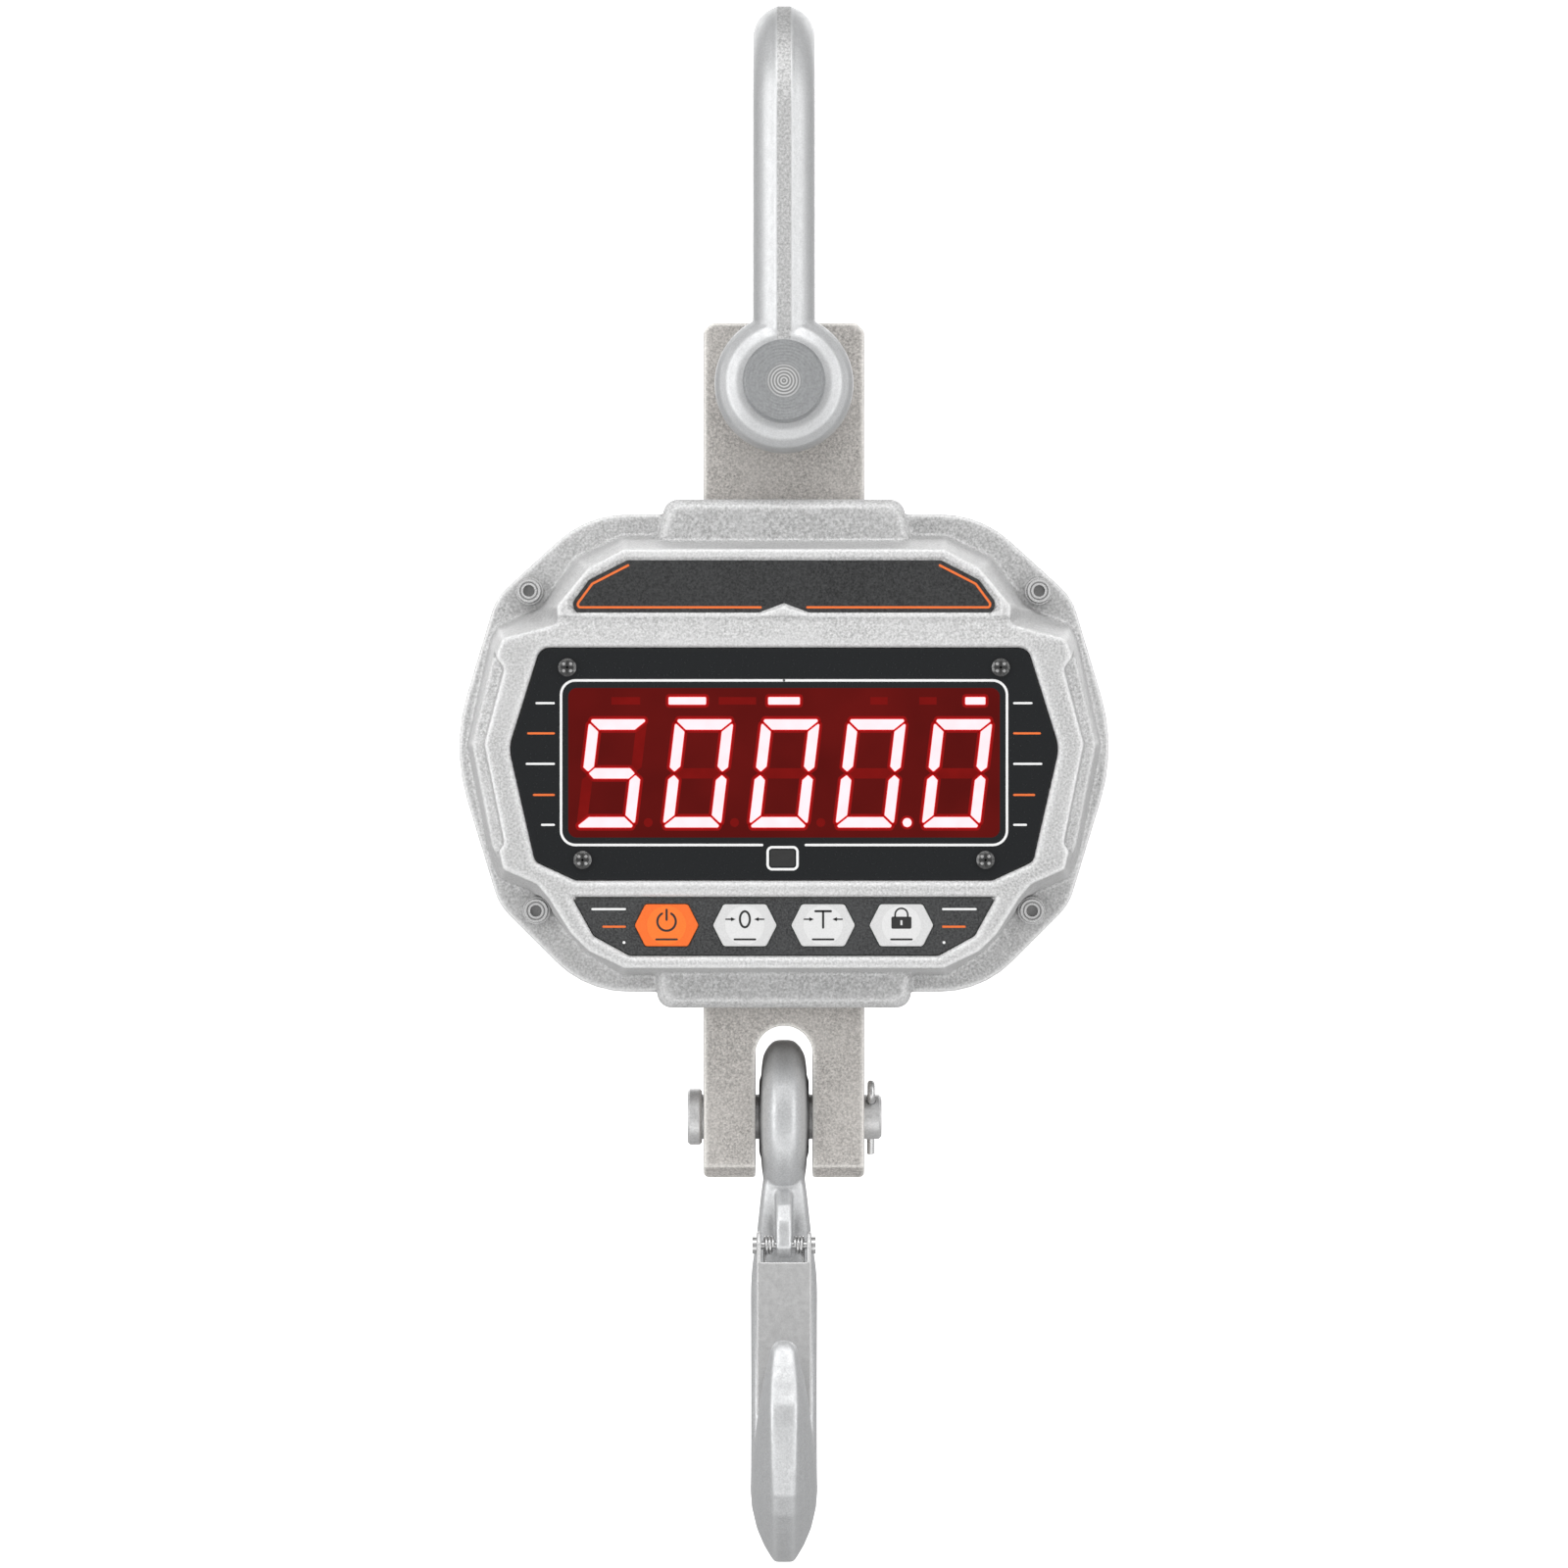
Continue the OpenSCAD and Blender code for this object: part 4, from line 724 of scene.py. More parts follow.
@dataclass(frozen=True)
class FinishBook:
    """Every finish of the scale."""

    casting: Finish = Finish("cast_silver_paint", grey(0.74), grey(0.31), metallic=0.3, rough=(0.42, 0.6),
        grain_mm=0.8, grain_depth=0.07, grain_mix=1.0, patch_mm=25.0, wear_and_edge_highlight=0.7)
    forging: Finish = Finish("satin_forging", grey(0.68, -0.01), grey(0.50, -0.01), metallic=0.75,
        rough=(0.40, 0.54), grain_mm=0.6, grain_depth=0.016, grain_mix=0.8, patch_mm=14.0, wear_and_edge_highlight=0.7)
    hook_paint: Finish = Finish("hook_silver_paint", grey(0.68, -0.012), grey(0.47, -0.012), metallic=0.65,
        rough=(0.38, 0.54), grain_mm=0.7, grain_depth=0.025, grain_mix=0.9, patch_mm=12.0, wear_and_edge_highlight=0.8)
    cell: Finish = Finish("blasted_nickel", grey(0.70, 0.045), grey(0.27, 0.05), metallic=0.55,
        rough=(0.45, 0.6), grain_mm=0.75, grain_depth=0.07, grain_mix=1.0, patch_mm=18.0, wear_and_edge_highlight=0.7)
    # Also the painted glint discs on the window screws.
    zinc: Finish = Finish("bright_zinc", grey(0.72), grey(0.52), metallic=0.9, rough=(0.22, 0.4),
        grain_mm=0.5, grain_depth=0.006, grain_mix=0.6, patch_mm=5.0)
    dull_zinc: Finish = Finish("dull_zinc", grey(0.46), grey(0.26), metallic=0.9, rough=(0.25, 0.4),
        grain_mm=0.5, grain_depth=0.01, grain_mix=0.8, patch_mm=3.0)
    # Also the painted highlight rings on the cover screws.
    machined_and_highlight: Finish = Finish("machined_zinc", grey(0.92), grey(0.72), metallic=0.6, rough=(0.2, 0.34),
        grain_mm=0.5, grain_depth=0.01, grain_mix=0.7, patch_mm=3.0)
    latch_zinc: Finish = Finish("pressed_zinc", grey(0.62), grey(0.48), metallic=0.7, rough=(0.36, 0.5),
        grain_mm=0.6, grain_depth=0.010, grain_mix=0.7, patch_mm=16.0, wear_and_edge_highlight=0.4)
    window: Finish = Finish("smoked_acrylic", grey(0.014, -0.10), grey(0.010, -0.10), metallic=0.0,
        rough=(0.20, 0.28), grain_mm=0.3, grain_depth=0.0002, grain_mix=0.8, patch_mm=30.0, gloss=0.3)
    film: Finish = Finish("charcoal_film", grey(0.080, -0.02), grey(0.012, -0.02), metallic=0.0,
        rough=(0.55, 0.7), grain_mm=0.7, grain_depth=0.03, grain_mix=1.0, patch_mm=22.0, gloss=0.25)
    top_film: Finish = Finish("dark_film", grey(0.055, -0.02), grey(0.010, -0.02), metallic=0.0,
        rough=(0.55, 0.7), grain_mm=0.7, grain_depth=0.03, grain_mix=1.0, patch_mm=22.0, gloss=0.25)
    white_key: Finish = Finish("white_key", grey(0.68), grey(0.54), metallic=0.0, rough=(0.45, 0.6),
        grain_mm=0.5, grain_depth=0.012, grain_mix=0.8, patch_mm=9.0)
    # Lighter copy of the white key's finish for its dome: painted light.
    white_dome_lit: Finish = Finish("white_dome_lit", grey(0.74), grey(0.62), metallic=0.0, rough=(0.35, 0.5),
        grain_mm=0.5, grain_depth=0.008, grain_mix=0.8, patch_mm=9.0)
    orange_key: Finish = Finish("orange_key", (0.93, 0.165, 0.017), (0.76, 0.12, 0.011), metallic=0.0,
        rough=(0.45, 0.6), grain_mm=0.5, grain_depth=0.012, grain_mix=0.8, patch_mm=9.0)
    # Lighter copy of the orange key's finish for its dome: painted light.
    orange_dome_lit: Finish = Finish("orange_dome_lit", (0.97, 0.20, 0.023), (0.83, 0.155, 0.017), metallic=0.0,
        rough=(0.35, 0.5), grain_mm=0.5, grain_depth=0.008, grain_mix=0.8, patch_mm=9.0)
    white_print: Finish = Finish("white_print", grey(0.84), grey(0.74), metallic=0.0, rough=(0.4, 0.5),
        grain_mm=0.3, grain_depth=0.003, grain_mix=0.5, patch_mm=9.0)
    orange_print: Finish = Finish("orange_print", (0.84, 0.17, 0.03), (0.68, 0.13, 0.022), metallic=0.0,
        rough=(0.4, 0.5), grain_mm=0.3, grain_depth=0.003, grain_mix=0.6, patch_mm=9.0)
    # Also the painted shade of the window screws' crosses.
    dark_print_and_shade: Finish = Finish("dark_print_and_shade", grey(0.022), grey(0.014), metallic=0.0, rough=(0.4, 0.55),
        grain_mm=0.3, grain_depth=0.003, grain_mix=0.6, patch_mm=9.0)
    rubber: Finish = Finish("moulded_rubber", grey(0.035), grey(0.020), metallic=0.0, rough=(0.6, 0.8),
        grain_mm=0.4, grain_depth=0.02, grain_mix=0.7, patch_mm=8.0)
    black_screw: Finish = Finish("black_nickel", grey(0.24), grey(0.06), metallic=0.95, rough=(0.16, 0.3),
        grain_mm=0.6, grain_depth=0.02, grain_mix=0.9, patch_mm=3.0)
    moulded: Finish = Finish("moulded_plastic", grey(0.06), grey(0.045), metallic=0.0, rough=(0.4, 0.55),
        grain_mm=0.4, grain_depth=0.01, grain_mix=0.7, patch_mm=10.0)
    board: Finish = Finish("solder_mask", (0.02, 0.16, 0.05), (0.015, 0.11, 0.035), metallic=0.0,
        rough=(0.3, 0.5), grain_mm=0.6, grain_depth=0.01, grain_mix=0.7, patch_mm=8.0)
    brass: Finish = Finish("plain_brass", (0.66, 0.47, 0.20), (0.5, 0.35, 0.14), metallic=0.9,
        rough=(0.25, 0.4), grain_mm=0.5, grain_depth=0.006, grain_mix=0.6, patch_mm=5.0)
    foil: Finish = Finish("polyimide", (0.55, 0.32, 0.08), (0.45, 0.25, 0.06), metallic=0.0,
        rough=(0.3, 0.45), grain_mm=0.5, grain_depth=0.004, grain_mix=0.5, patch_mm=6.0)
    paper: Finish = Finish("label_film", grey(0.74), grey(0.66), metallic=0.0, rough=(0.5, 0.65),
        grain_mm=0.4, grain_depth=0.006, grain_mix=0.6, patch_mm=12.0)
    # Painted red glow of the field behind the digits.
    red_field_glow: Glow = Glow("red_window_glow", (0.02, 0.001, 0.001), (0.115, 0.004, 0.003), strength=1.0,
        variation=0.3, patch_mm=25.0)
    # Painted faint red glow of the unlit segments, points and marks.
    red_faint_glow: Glow = Glow("unlit_segment_glow", (0.03, 0.001, 0.001), (0.19, 0.004, 0.003), strength=1.0,
        variation=0.2, patch_mm=8.0)
    # Painted red glow round the lit segments: a wide halo and a narrow bright rim.
    red_halo: Glow = Glow("lit_halo", (0.02, 0.001, 0.001), (0.30, 0.004, 0.004), strength=1.0,
        variation=0.2, patch_mm=8.0)
    red_glow_rim: Glow = Glow("lit_glow_rim", (0.05, 0.002, 0.002), (0.70, 0.006, 0.008), strength=1.0, variation=0.1)
    lit: Glow = Glow("lit_segment", (0.2, 0.15, 0.16), (0.95, 0.76, 0.80), strength=1.0, variation=0.05)


class Finishes:
    """Builds each finish once and hands it out."""

    def __init__(self) -> None:
        """Start with no material made."""
        self.book = FinishBook()
        self.made: dict[str, bpy.types.Material] = {}

    def get(self, finish: AnyFinish) -> bpy.types.Material:
        """Give a finish's material, made on first use."""
        if finish.name not in self.made:
            self.made[finish.name] = finish.build()
        return self.made[finish.name]

    def dress(self, piece: bpy.types.Object, finish: AnyFinish) -> None:
        """Put one finish all over a piece.

        Args:
            piece: A piece or a CAD node's object.
            finish: The finish.
        """
        material = self.get(finish)
        if piece.material_slots:
            for slot in piece.material_slots:
                slot.material = material
        else:
            piece.data.materials.append(material)

    def dress_node(self, node: str, finish: AnyFinish) -> None:
        """Put a finish on a CAD node."""
        self.dress(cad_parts[node], finish)


@dataclass(frozen=True)
class ScrewHead:
    """Where one screw's head faces the front, in millimetres."""

    x: float
    z: float
    radius: float
    front: float


def screw_heads(node: str) -> list[ScrewHead]:
    """Find the heads of four screws that lie one in each quarter round their common middle.

    Args:
        node: The CAD node that holds the screws.

    Returns:
        The four heads.
    """
    low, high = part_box(node)
    mid_x, mid_z = (low[0] + high[0]) / 2, (low[2] + high[2]) / 2
    quarters: dict[tuple[bool, bool], list[Vector]] = {}
    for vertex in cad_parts[node].data.vertices:
        quarters.setdefault((vertex.co.x > mid_x, vertex.co.z > mid_z), []).append(vertex.co)
    heads = []
    for points in quarters.values():
        xs, ys, zs = [p.x for p in points], [p.y for p in points], [p.z for p in points]
        heads.append(ScrewHead((min(xs) + max(xs)) / 2 / MM, (min(zs) + max(zs)) / 2 / MM,
                               (max(xs) - min(xs)) / 2 / MM, min(ys) / MM))
    return heads


def place(piece: bpy.types.Object, body: Body, slot: str) -> None:
    """Make a piece ride on a body and report it.

    Args:
        piece: The piece.
        body: The body it moves with.
        slot: The record's material slot; not used.
    """
    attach(piece, body.value)
    log.info("%s: %d faces, rides on %s", piece.name, len(piece.data.polygons), body.value)


def add(maker: MeshMaker, name: str, finishes: Finishes, finish: AnyFinish, body: Body, slot: str,
        node: str = "") -> None:
    """Make a piece, dress it and place it.

    Args:
        maker: The piece's solids.
        name: The piece's name.
        finishes: The finishes.
        finish: The piece's finish.
        body: The body it moves with.
        slot: The record's material slot.
        node: The CAD node it stands for, if any.
    """
    piece = maker.build(name)
    finishes.dress(piece, finish)
    if node:
        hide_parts(node)
    place(piece, body, slot)


# ---------------------------------------------------------------- sub-assemblies


@dataclass
class Shackle:
    """The forged bow with its round pin, washer and split cotter."""

    voxel_mm: float = 0.6
    passes: int = 3
    strip_mm: float = 2.3

    def build(self, finishes: Finishes) -> None:
        """Build the bow and dress the pin's pieces.

        Args:
            finishes: The finishes.
        """
        book = finishes.book
        low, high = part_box("shackle_pin")
        bow = recast("shackle_bow", "forged_bow", self.voxel_mm, self.passes)
        finishes.dress(bow, replace(book.forging, strip_mm=self.strip_mm, strip_above=high[2]))
        place(bow, Body.SHACKLE, "cast_steel")
        centre = ((low[0] + high[0]) / 2, 0.0, (low[2] + high[2]) / 2)
        finishes.dress_node("shackle_pin", TurnedFinish("turned_pin", centre, "Y", grey(0.42, -0.02),
                                                        grey(0.32, -0.02)))
        finishes.dress_node("shackle_pin_washer", book.zinc)
        finishes.dress_node("shackle_pin_cotter", book.zinc)


@dataclass
class LoadCell:
    """The load cell, its gauges and cable, the hook pin and its cotter."""

    voxel_mm: float = 0.6
    passes: int = 1

    def build(self, finishes: Finishes) -> None:
        """Build the cell's body and dress the pieces on it.

        Args:
            finishes: The finishes.
        """
        book = finishes.book
        body = recast("load_cell", "cell_body", self.voxel_mm, self.passes)
        finishes.dress(body, book.cell)
        place(body, Body.SCALE, "nickel_cell")
        finishes.dress_node("gauge_covers", replace(book.cell, name="cover_nickel", wear_and_edge_highlight=0.0))
        finishes.dress_node("strain_gauges", book.foil)
        finishes.dress_node("cell_cable", book.rubber)
        finishes.dress_node("cell_mount_screws", book.zinc)
        low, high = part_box("hook_pin")
        centre = (0.0, 0.0, (low[2] + high[2]) / 2)
        finishes.dress_node("hook_pin", TurnedFinish("turned_hook_pin", centre, "X", grey(0.80), grey(0.62)))
        finishes.dress_node("hook_pin_cotter", book.zinc)


@dataclass
class Housing:
    """The front and rear castings with their gasket, seals, screws and battery door."""

    voxel_mm: float = 0.7
    passes: int = 4

    def build(self, finishes: Finishes) -> None:
        """Build the castings and dress what fastens them.

        Args:
            finishes: The finishes.
        """
        book = finishes.book
        for node, name, passes in (("front_cover", "front_casting", self.passes),
                                   ("rear_cover", "rear_casting", self.passes),
                                   ("battery_door", "door_casting", 2)):
            piece = recast(node, name, self.voxel_mm, passes)
            finishes.dress(piece, book.casting)
            place(piece, Body.SCALE, "cast_cover")
        for node in ("cover_gasket", "neck_seals", "window_gasket", "door_gasket", "battery_pad",
                     "charge_cap"):
            finishes.dress_node(node, book.rubber)
        for node in ("door_screws", "display_board_screws"):
            finishes.dress_node(node, book.machined_and_highlight)
        self._screw_highlight_rings(finishes)

    def _screw_highlight_rings(self, finishes: Finishes) -> None:
        """Raise bright rings on the cover screws' heads and their washers: painted highlights on their rims.
        """
        rings = MeshMaker()
        for node, highlight_shares in (("cover_screws", ((0.97, 0.78), (0.66, 0.48))),
                             ("cover_washers", ((0.98, 0.84),))):
            finishes.dress_node(node, finishes.book.dull_zinc)
            for head in screw_heads(node):
                for outer, inner in highlight_shares:
                    rim = Outline.circle(head.x, head.z, head.radius * outer, 48)
                    hole = Outline.circle(head.x, head.z, head.radius * inner, 48)
                    rings.plate(rim, head.front - 0.25, head.front + 0.1, 0.12, holes=[hole])
        add(rings, "cover_screw_highlight_rings", finishes, finishes.book.machined_and_highlight, Body.SCALE, "zinc_steel")


@dataclass
class Inside:
    """The boards, the battery and the wiring that the housing encloses."""

    def build(self, finishes: Finishes) -> None:
        """Dress the enclosed pieces.

        Args:
            finishes: The finishes.
        """
        book = finishes.book
        groups = (
            (book.board, ("display_board", "main_board", "keypad_board")),
            (book.moulded, ("digit_modules", "board_components", "ir_receiver", "battery", "battery_tray",
                            "charge_socket")),
            (book.zinc, ("snap_domes", "battery_terminals")),
            (book.foil, ("keypad_tail",)),
            (book.paper, ("ribbon_cable", "keypad_spacer")),
            (book.brass, ("board_spacers",)),
            (book.rubber, ("battery_lead",)),
        )
        for finish, nodes in groups:
            for node in nodes:
                finishes.dress_node(node, finish)


class Segment(Enum):
    """The seven segments of a digit, as letters in the usual order."""

    TOP = "a"
    RIGHT_UPPER = "b"
    RIGHT_LOWER = "c"
    BOTTOM = "d"
    LEFT_LOWER = "e"
    LEFT_UPPER = "f"
    MIDDLE = "g"


LIT_SEGMENTS = {"0": "abcdef", "5": "acdfg"}


@dataclass
class Digit:
    """One seven-segment digit, by its lower left corner."""

    x: float
    z: float
    width: float = 20.2
    height: float = 37.6
    bar: float = 3.6
    gap: float = 0.35
    lean: float = 0.12

    def shape(self, segment: Segment) -> Outline:
        """Give a segment's outline.

        Args:
            segment: The segment.

        Returns:
            Its outline, leaning with the digit.
        """
        w, h, t, g = self.width, self.height, self.bar, self.gap
        mid_x, mid_z = w / 2, h / 2
        top = Outline(((1.0, h), (w - 1.0, h), (w - g - 0.3, h - 0.7), (w - t - g, h - t), (t + g, h - t),
                       (g + 0.3, h - 0.7)))
        left = Outline(((0.2, h - g - 1.0), (t, h - t - 2 * g), (t, mid_z + 2.4), (t / 2, mid_z + 0.6),
                        (0.0, mid_z + 2.1), (0.0, h - 2.2)))
        middle = Outline(((2.1, mid_z), (t + 0.4, mid_z + t / 2), (w - t - 0.4, mid_z + t / 2),
                          (w - 2.1, mid_z), (w - t - 0.4, mid_z - t / 2), (t + 0.4, mid_z - t / 2)))
        shapes = {
            Segment.TOP: top,
            Segment.BOTTOM: top.flipped_z(mid_z),
            Segment.MIDDLE: middle,
            Segment.LEFT_UPPER: left,
            Segment.LEFT_LOWER: left.flipped_z(mid_z),
            Segment.RIGHT_UPPER: left.flipped_x(mid_x),
            Segment.RIGHT_LOWER: left.flipped_x(mid_x).flipped_z(mid_z),
        }
        return shapes[segment].sheared(self.lean).moved(self.x, self.z)


@dataclass
class DisplayWindow:
    """The smoked window with its printed frame and ticks, the red field and the lit digits."""

    half_w: float = 115.5
    half_h: float = 85.0
    body_up: float = 0.25
    mid_z: float = -248.1
    red: tuple[float, float] = (150.0, 52.0)
    frame_size: tuple[float, float, float] = (155.0, 57.2, 5.0)
    line_w: float = 0.85
    reading: str = "50000"
    pitch: float = 30.0
    first_x: float = -72.2
    segment_r: float = 0.35
    digit_z: float = -270.6
    point_after: int = 3
    mark_z: float = -226.6
    mark_h: float = 2.6
    layer: float = 0.02
    tick_z: tuple[float, ...] = (-227.4, -237.9, -248.5, -259.3, -269.7)
    tick_start: float = 80.0
    tick_w: float = 0.75
    tick_end: tuple[float, ...] = (86.0, 88.9, 89.4, 86.9, 84.1)
    front: float = 0.0

    def build(self, finishes: Finishes) -> None:
        """Build the window, its prints, the field, the digits and the screws.

        Args:
            finishes: The finishes.
        """
        book = finishes.book
        low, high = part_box("front_cover")
        body_z = (low[2] + high[2]) / 2 / MM + self.body_up
        low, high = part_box("display_window")
        self.front = low[1] / MM
        hw, hh = self.half_w, self.half_h
        side = [(hw - 31, hh - 48.9), (hw - 20.2, 1.6), (hw - 29.2, 47.2 - hh), (hw - 43.3, 40.7 - hh)]
        radii = [4.0, 12.0, 3.0, 2.0]
        outline = Outline.mirrored(side).rounded(radii + radii[::-1]).moved(0, body_z)
        maker = MeshMaker()
        maker.plate(outline, self.front, high[1] / MM, 0.3)
        add(maker, "smoked_window", finishes, book.window, Body.SCALE, "window", "display_window")
        finishes.dress_node("window_screws", book.black_screw)
        self._painted_crosses(finishes)
        self._print(finishes)
        self._field(finishes)
        self._digits(finishes)

    def _layer(self, step: int) -> float:
        """Give the depth of a printed layer above the window's face."""
        return self.front - step * self.layer

    def _painted_crosses(self, finishes: Finishes) -> None:
        """Paint a cross on each window screw: a dark cross of painted shade standing in for the recess,
        between four small bright zinc discs of painted highlight.
        """
        dark, glint_lands = MeshMaker(), MeshMaker()
        for head in screw_heads("window_screws"):
            reach = head.radius * 0.62
            for end in ((reach, 0.0), (0.0, reach)):
                bar = stroke([(head.x - end[0], head.z - end[1]), (head.x + end[0], head.z + end[1])], 0.75)
                dark.plate(bar, head.front - 0.03, head.front + 0.1)
            # Small bright zinc discs between the arms: painted glints.
            for x, z in ((1, 1), (1, -1), (-1, -1), (-1, 1)):
                glint_land = Outline.circle(head.x + x * reach * 0.62, head.z + z * reach * 0.62, 0.55, 16)
                glint_lands.plate(glint_land, head.front - 0.12, head.front + 0.1, 0.1)
        add(dark, "window_screw_painted_crosses", finishes, finishes.book.dark_print_and_shade, Body.SCALE, "zinc_steel")
        add(glint_lands, "window_screw_glint_lands", finishes, finishes.book.zinc, Body.SCALE, "zinc_steel")

    def _print(self, finishes: Finishes) -> None:
        """Print the frame line, the receiver's frame and the side ticks."""
        w, h, r = self.frame_size
        x, z0, z1 = w / 2, self.mid_z + h / 2, self.mid_z - h / 2
        gap = 7.6
        path = [(gap, z1)] + arc(x - r, z1 + r, r, 180, 90, 8) + arc(x - r, z0 - r, r, 90, 0, 8) + [(0.0, z0)]
        white = MeshMaker()
        for s in (1, -1):
            half = [(s * px, pz) for px, pz in path]
            white.plate(stroke(half, self.line_w), self._layer(3), self.front + 0.2)
        receiver = Outline.rectangle(-0.5, z1 - 4.6, 11.2, 8.5).rounded(2.0)
        white.plate(receiver, self._layer(3), self.front + 0.2, holes=[receiver.inset(self.line_w)])
        orange = MeshMaker()
        for i, (z, end) in enumerate(zip(self.tick_z, self.tick_end)):
            for s in (-1, 1):
                maker = orange if i % 2 else white
                tick = stroke([(s * self.tick_start, z), (s * end, z)], self.tick_w)
                maker.plate(tick, self._layer(3), self.front + 0.2)
        add(white, "window_white_print", finishes, finishes.book.white_print, Body.SCALE, "window")
        add(orange, "window_orange_print", finishes, finishes.book.orange_print, Body.SCALE, "window")
        lens = MeshMaker()
        lens.plate(receiver.inset(self.line_w + 0.5), self._layer(1), self.front + 0.2)
        lens.plate(Outline.circle(-2.6, z1 - 4.2, 1.1), self._layer(2), self.front + 0.2)
        lens.plate(Outline.circle(1.6, z1 - 4.4, 1.5), self._layer(2), self.front + 0.2)
        add(lens, "receiver_lens", finishes, finishes.book.dark_print_and_shade, Body.SCALE, "window")

    def _field(self, finishes: Finishes) -> None:
        """Lay the red field with its rounded corners."""
        w, h = self.red
        base = Outline.rectangle(0, self.mid_z, w, h).rounded(3.0)
        maker = MeshMaker()
        # The field emits a red glow: painted light, not a lamp.
        maker.plate(base, self._layer(1), self.front + 0.2)
        add(maker, "red_field", finishes, finishes.book.red_field_glow, Body.SCALE, "window")

    def _digits(self, finishes: Finishes) -> None:
        """Build lit and unlit segments, the points and the indicator marks."""
        lit, rim, halo, faint_glow = MeshMaker(), MeshMaker(), MeshMaker(), MeshMaker()

        def light(shape: Outline, halo_w: float = 1.1, glow_rim_w: float = 0.34) -> None:
            """Add one lit shape with its rim and halo, a painted red glow round it."""
            halo.plate(shape.inset(-halo_w), self._layer(3), self.front + 0.1)
            rim.plate(shape.inset(-glow_rim_w), self._layer(4), self.front + 0.1)
            lit.plate(shape, self._layer(5), self.front + 0.1)

        # Unlit segments, points and marks get a faint red painted glow.
        for i, shown in enumerate(self.reading):
            digit = Digit(self.first_x + i * self.pitch, self.digit_z)
            for segment in Segment:
                shape = digit.shape(segment)
                if segment.value in LIT_SEGMENTS[shown]:
                    light(shape.rounded(self.segment_r, 2))
                else:
                    faint_glow.plate(shape, self._layer(2), self.front + 0.1)
            point = Outline.circle(digit.x + 25.0, self.digit_z + 1.7, 1.55, 20)
            if i == self.point_after:
                light(point, 0.9, 0.28)
            elif i < len(self.reading) - 1:
                faint_glow.plate(point, self._layer(2), self.front + 0.1)
        marks = ((-55.0, 10.0, False), (-33.6, 13.0, True), (-16.2, 13.0, False), (0.0, 11.0, True),
                 (33.0, 6.0, False), (50.0, 6.0, False), (66.5, 7.0, True))
        for x, width, on in marks:
            shape = Outline.rectangle(x, self.mark_z, width, self.mark_h)
            if on:
                light(shape.rounded(self.segment_r, 2))
            else:
                faint_glow.plate(shape, self._layer(2), self.front + 0.1)
        book = finishes.book
        for maker, name, finish in ((faint_glow, "unlit_segment_glows", book.red_faint_glow),
                                    (halo, "segment_halo", book.red_halo),
                                    (rim, "segment_glow_rim", book.red_glow_rim), (lit, "lit_segments", book.lit)):
            add(maker, name, finishes, finish, Body.SCALE, "led_grey")


@dataclass
class LabelFilm:
    """The charcoal film at the top with its orange border line."""

    inset: float = 1.7
    line_w: float = 0.8

    def build(self, finishes: Finishes) -> None:
        """Build the film and its line.

        Args:
            finishes: The finishes.
        """
        low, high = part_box("top_label")
        front, back = low[1] / MM, high[1] / MM
        top, bottom = high[2] / MM, low[2] / MM
        half = high[0] / MM
        corner = [(half - 19.7, top), (half - 6.5, top - 6.8), (half, top - 15.6), (half - 2.5, bottom)]
        notch = [(8.7, bottom), (0.0, bottom + 3.3), (-8.7, bottom)]
        left = [(-x, z) for x, z in reversed(corner)]
        outline = Outline(tuple(corner + notch + left))
        film = MeshMaker()
        side_radii = [0.6, 1.5, 3.0, 2.2]
        radii = side_radii + [0.3, 0.3, 0.3] + side_radii[::-1]
        film.plate(outline.rounded(radii), front, back, 0.12)
        add(film, "label_film", finishes, finishes.book.top_film, Body.SCALE, "film_dark", "top_label")
        line = MeshMaker()
        inner = outline.inset(self.inset)
        steps = 4
        bends = inner.rounded([0.0, 1.0, 1.1, 0.5] + [0.0] * 7, steps).points[steps + 1:4 * (steps + 1)]
        path = [inner.points[0]] + list(bends) + [(8.1, inner.points[3][1])]
        for s in (-1, 1):
            line.plate(stroke([(s * x, z) for x, z in path], self.line_w), front - 0.03, front + 0.1)
        add(line, "label_orange_line", finishes, finishes.book.orange_print, Body.SCALE, "film_orange")


@dataclass
class RatingLabel:
    """The pale label on the battery door, with a border and ruled rows left blank."""

    border_in: float = 2.0
    line_w: float = 0.5
    row_pitch: float = 7.0
    rows: int = 3
    print_t: float = 0.03

    def build(self, finishes: Finishes) -> None:
        """Build the label and its printed lines.

        Args:
            finishes: The finishes.
        """
        low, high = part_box("rating_label")
        x, z = (low[0] + high[0]) / 2 / MM, (low[2] + high[2]) / 2 / MM
        width, height = (high[0] - low[0]) / MM, (high[2] - low[2]) / MM
        inner, outer = low[1] / MM, high[1] / MM
        sheet = MeshMaker()
        sheet.plate(Outline.rectangle(x, z, width, height).rounded(1.5), outer - self.print_t, inner)
        add(sheet, "rating_sheet", finishes, finishes.book.paper, Body.SCALE, "film_white", "rating_label")
        lines = MeshMaker()
        border = Outline.rectangle(x, z, width - 2 * self.border_in, height - 2 * self.border_in).rounded(1.0)
        lines.plate(border, outer, inner, holes=[border.inset(self.line_w)])
        half = width / 2 - self.border_in - 3
        for i in range(self.rows):
            row = z + (i - (self.rows - 1) / 2) * self.row_pitch
            lines.plate(stroke([(x - half, row), (x + half, row)], self.line_w), outer, inner)
        add(lines, "rating_lines", finishes, finishes.book.dark_print_and_shade, Body.SCALE, "film_dark")


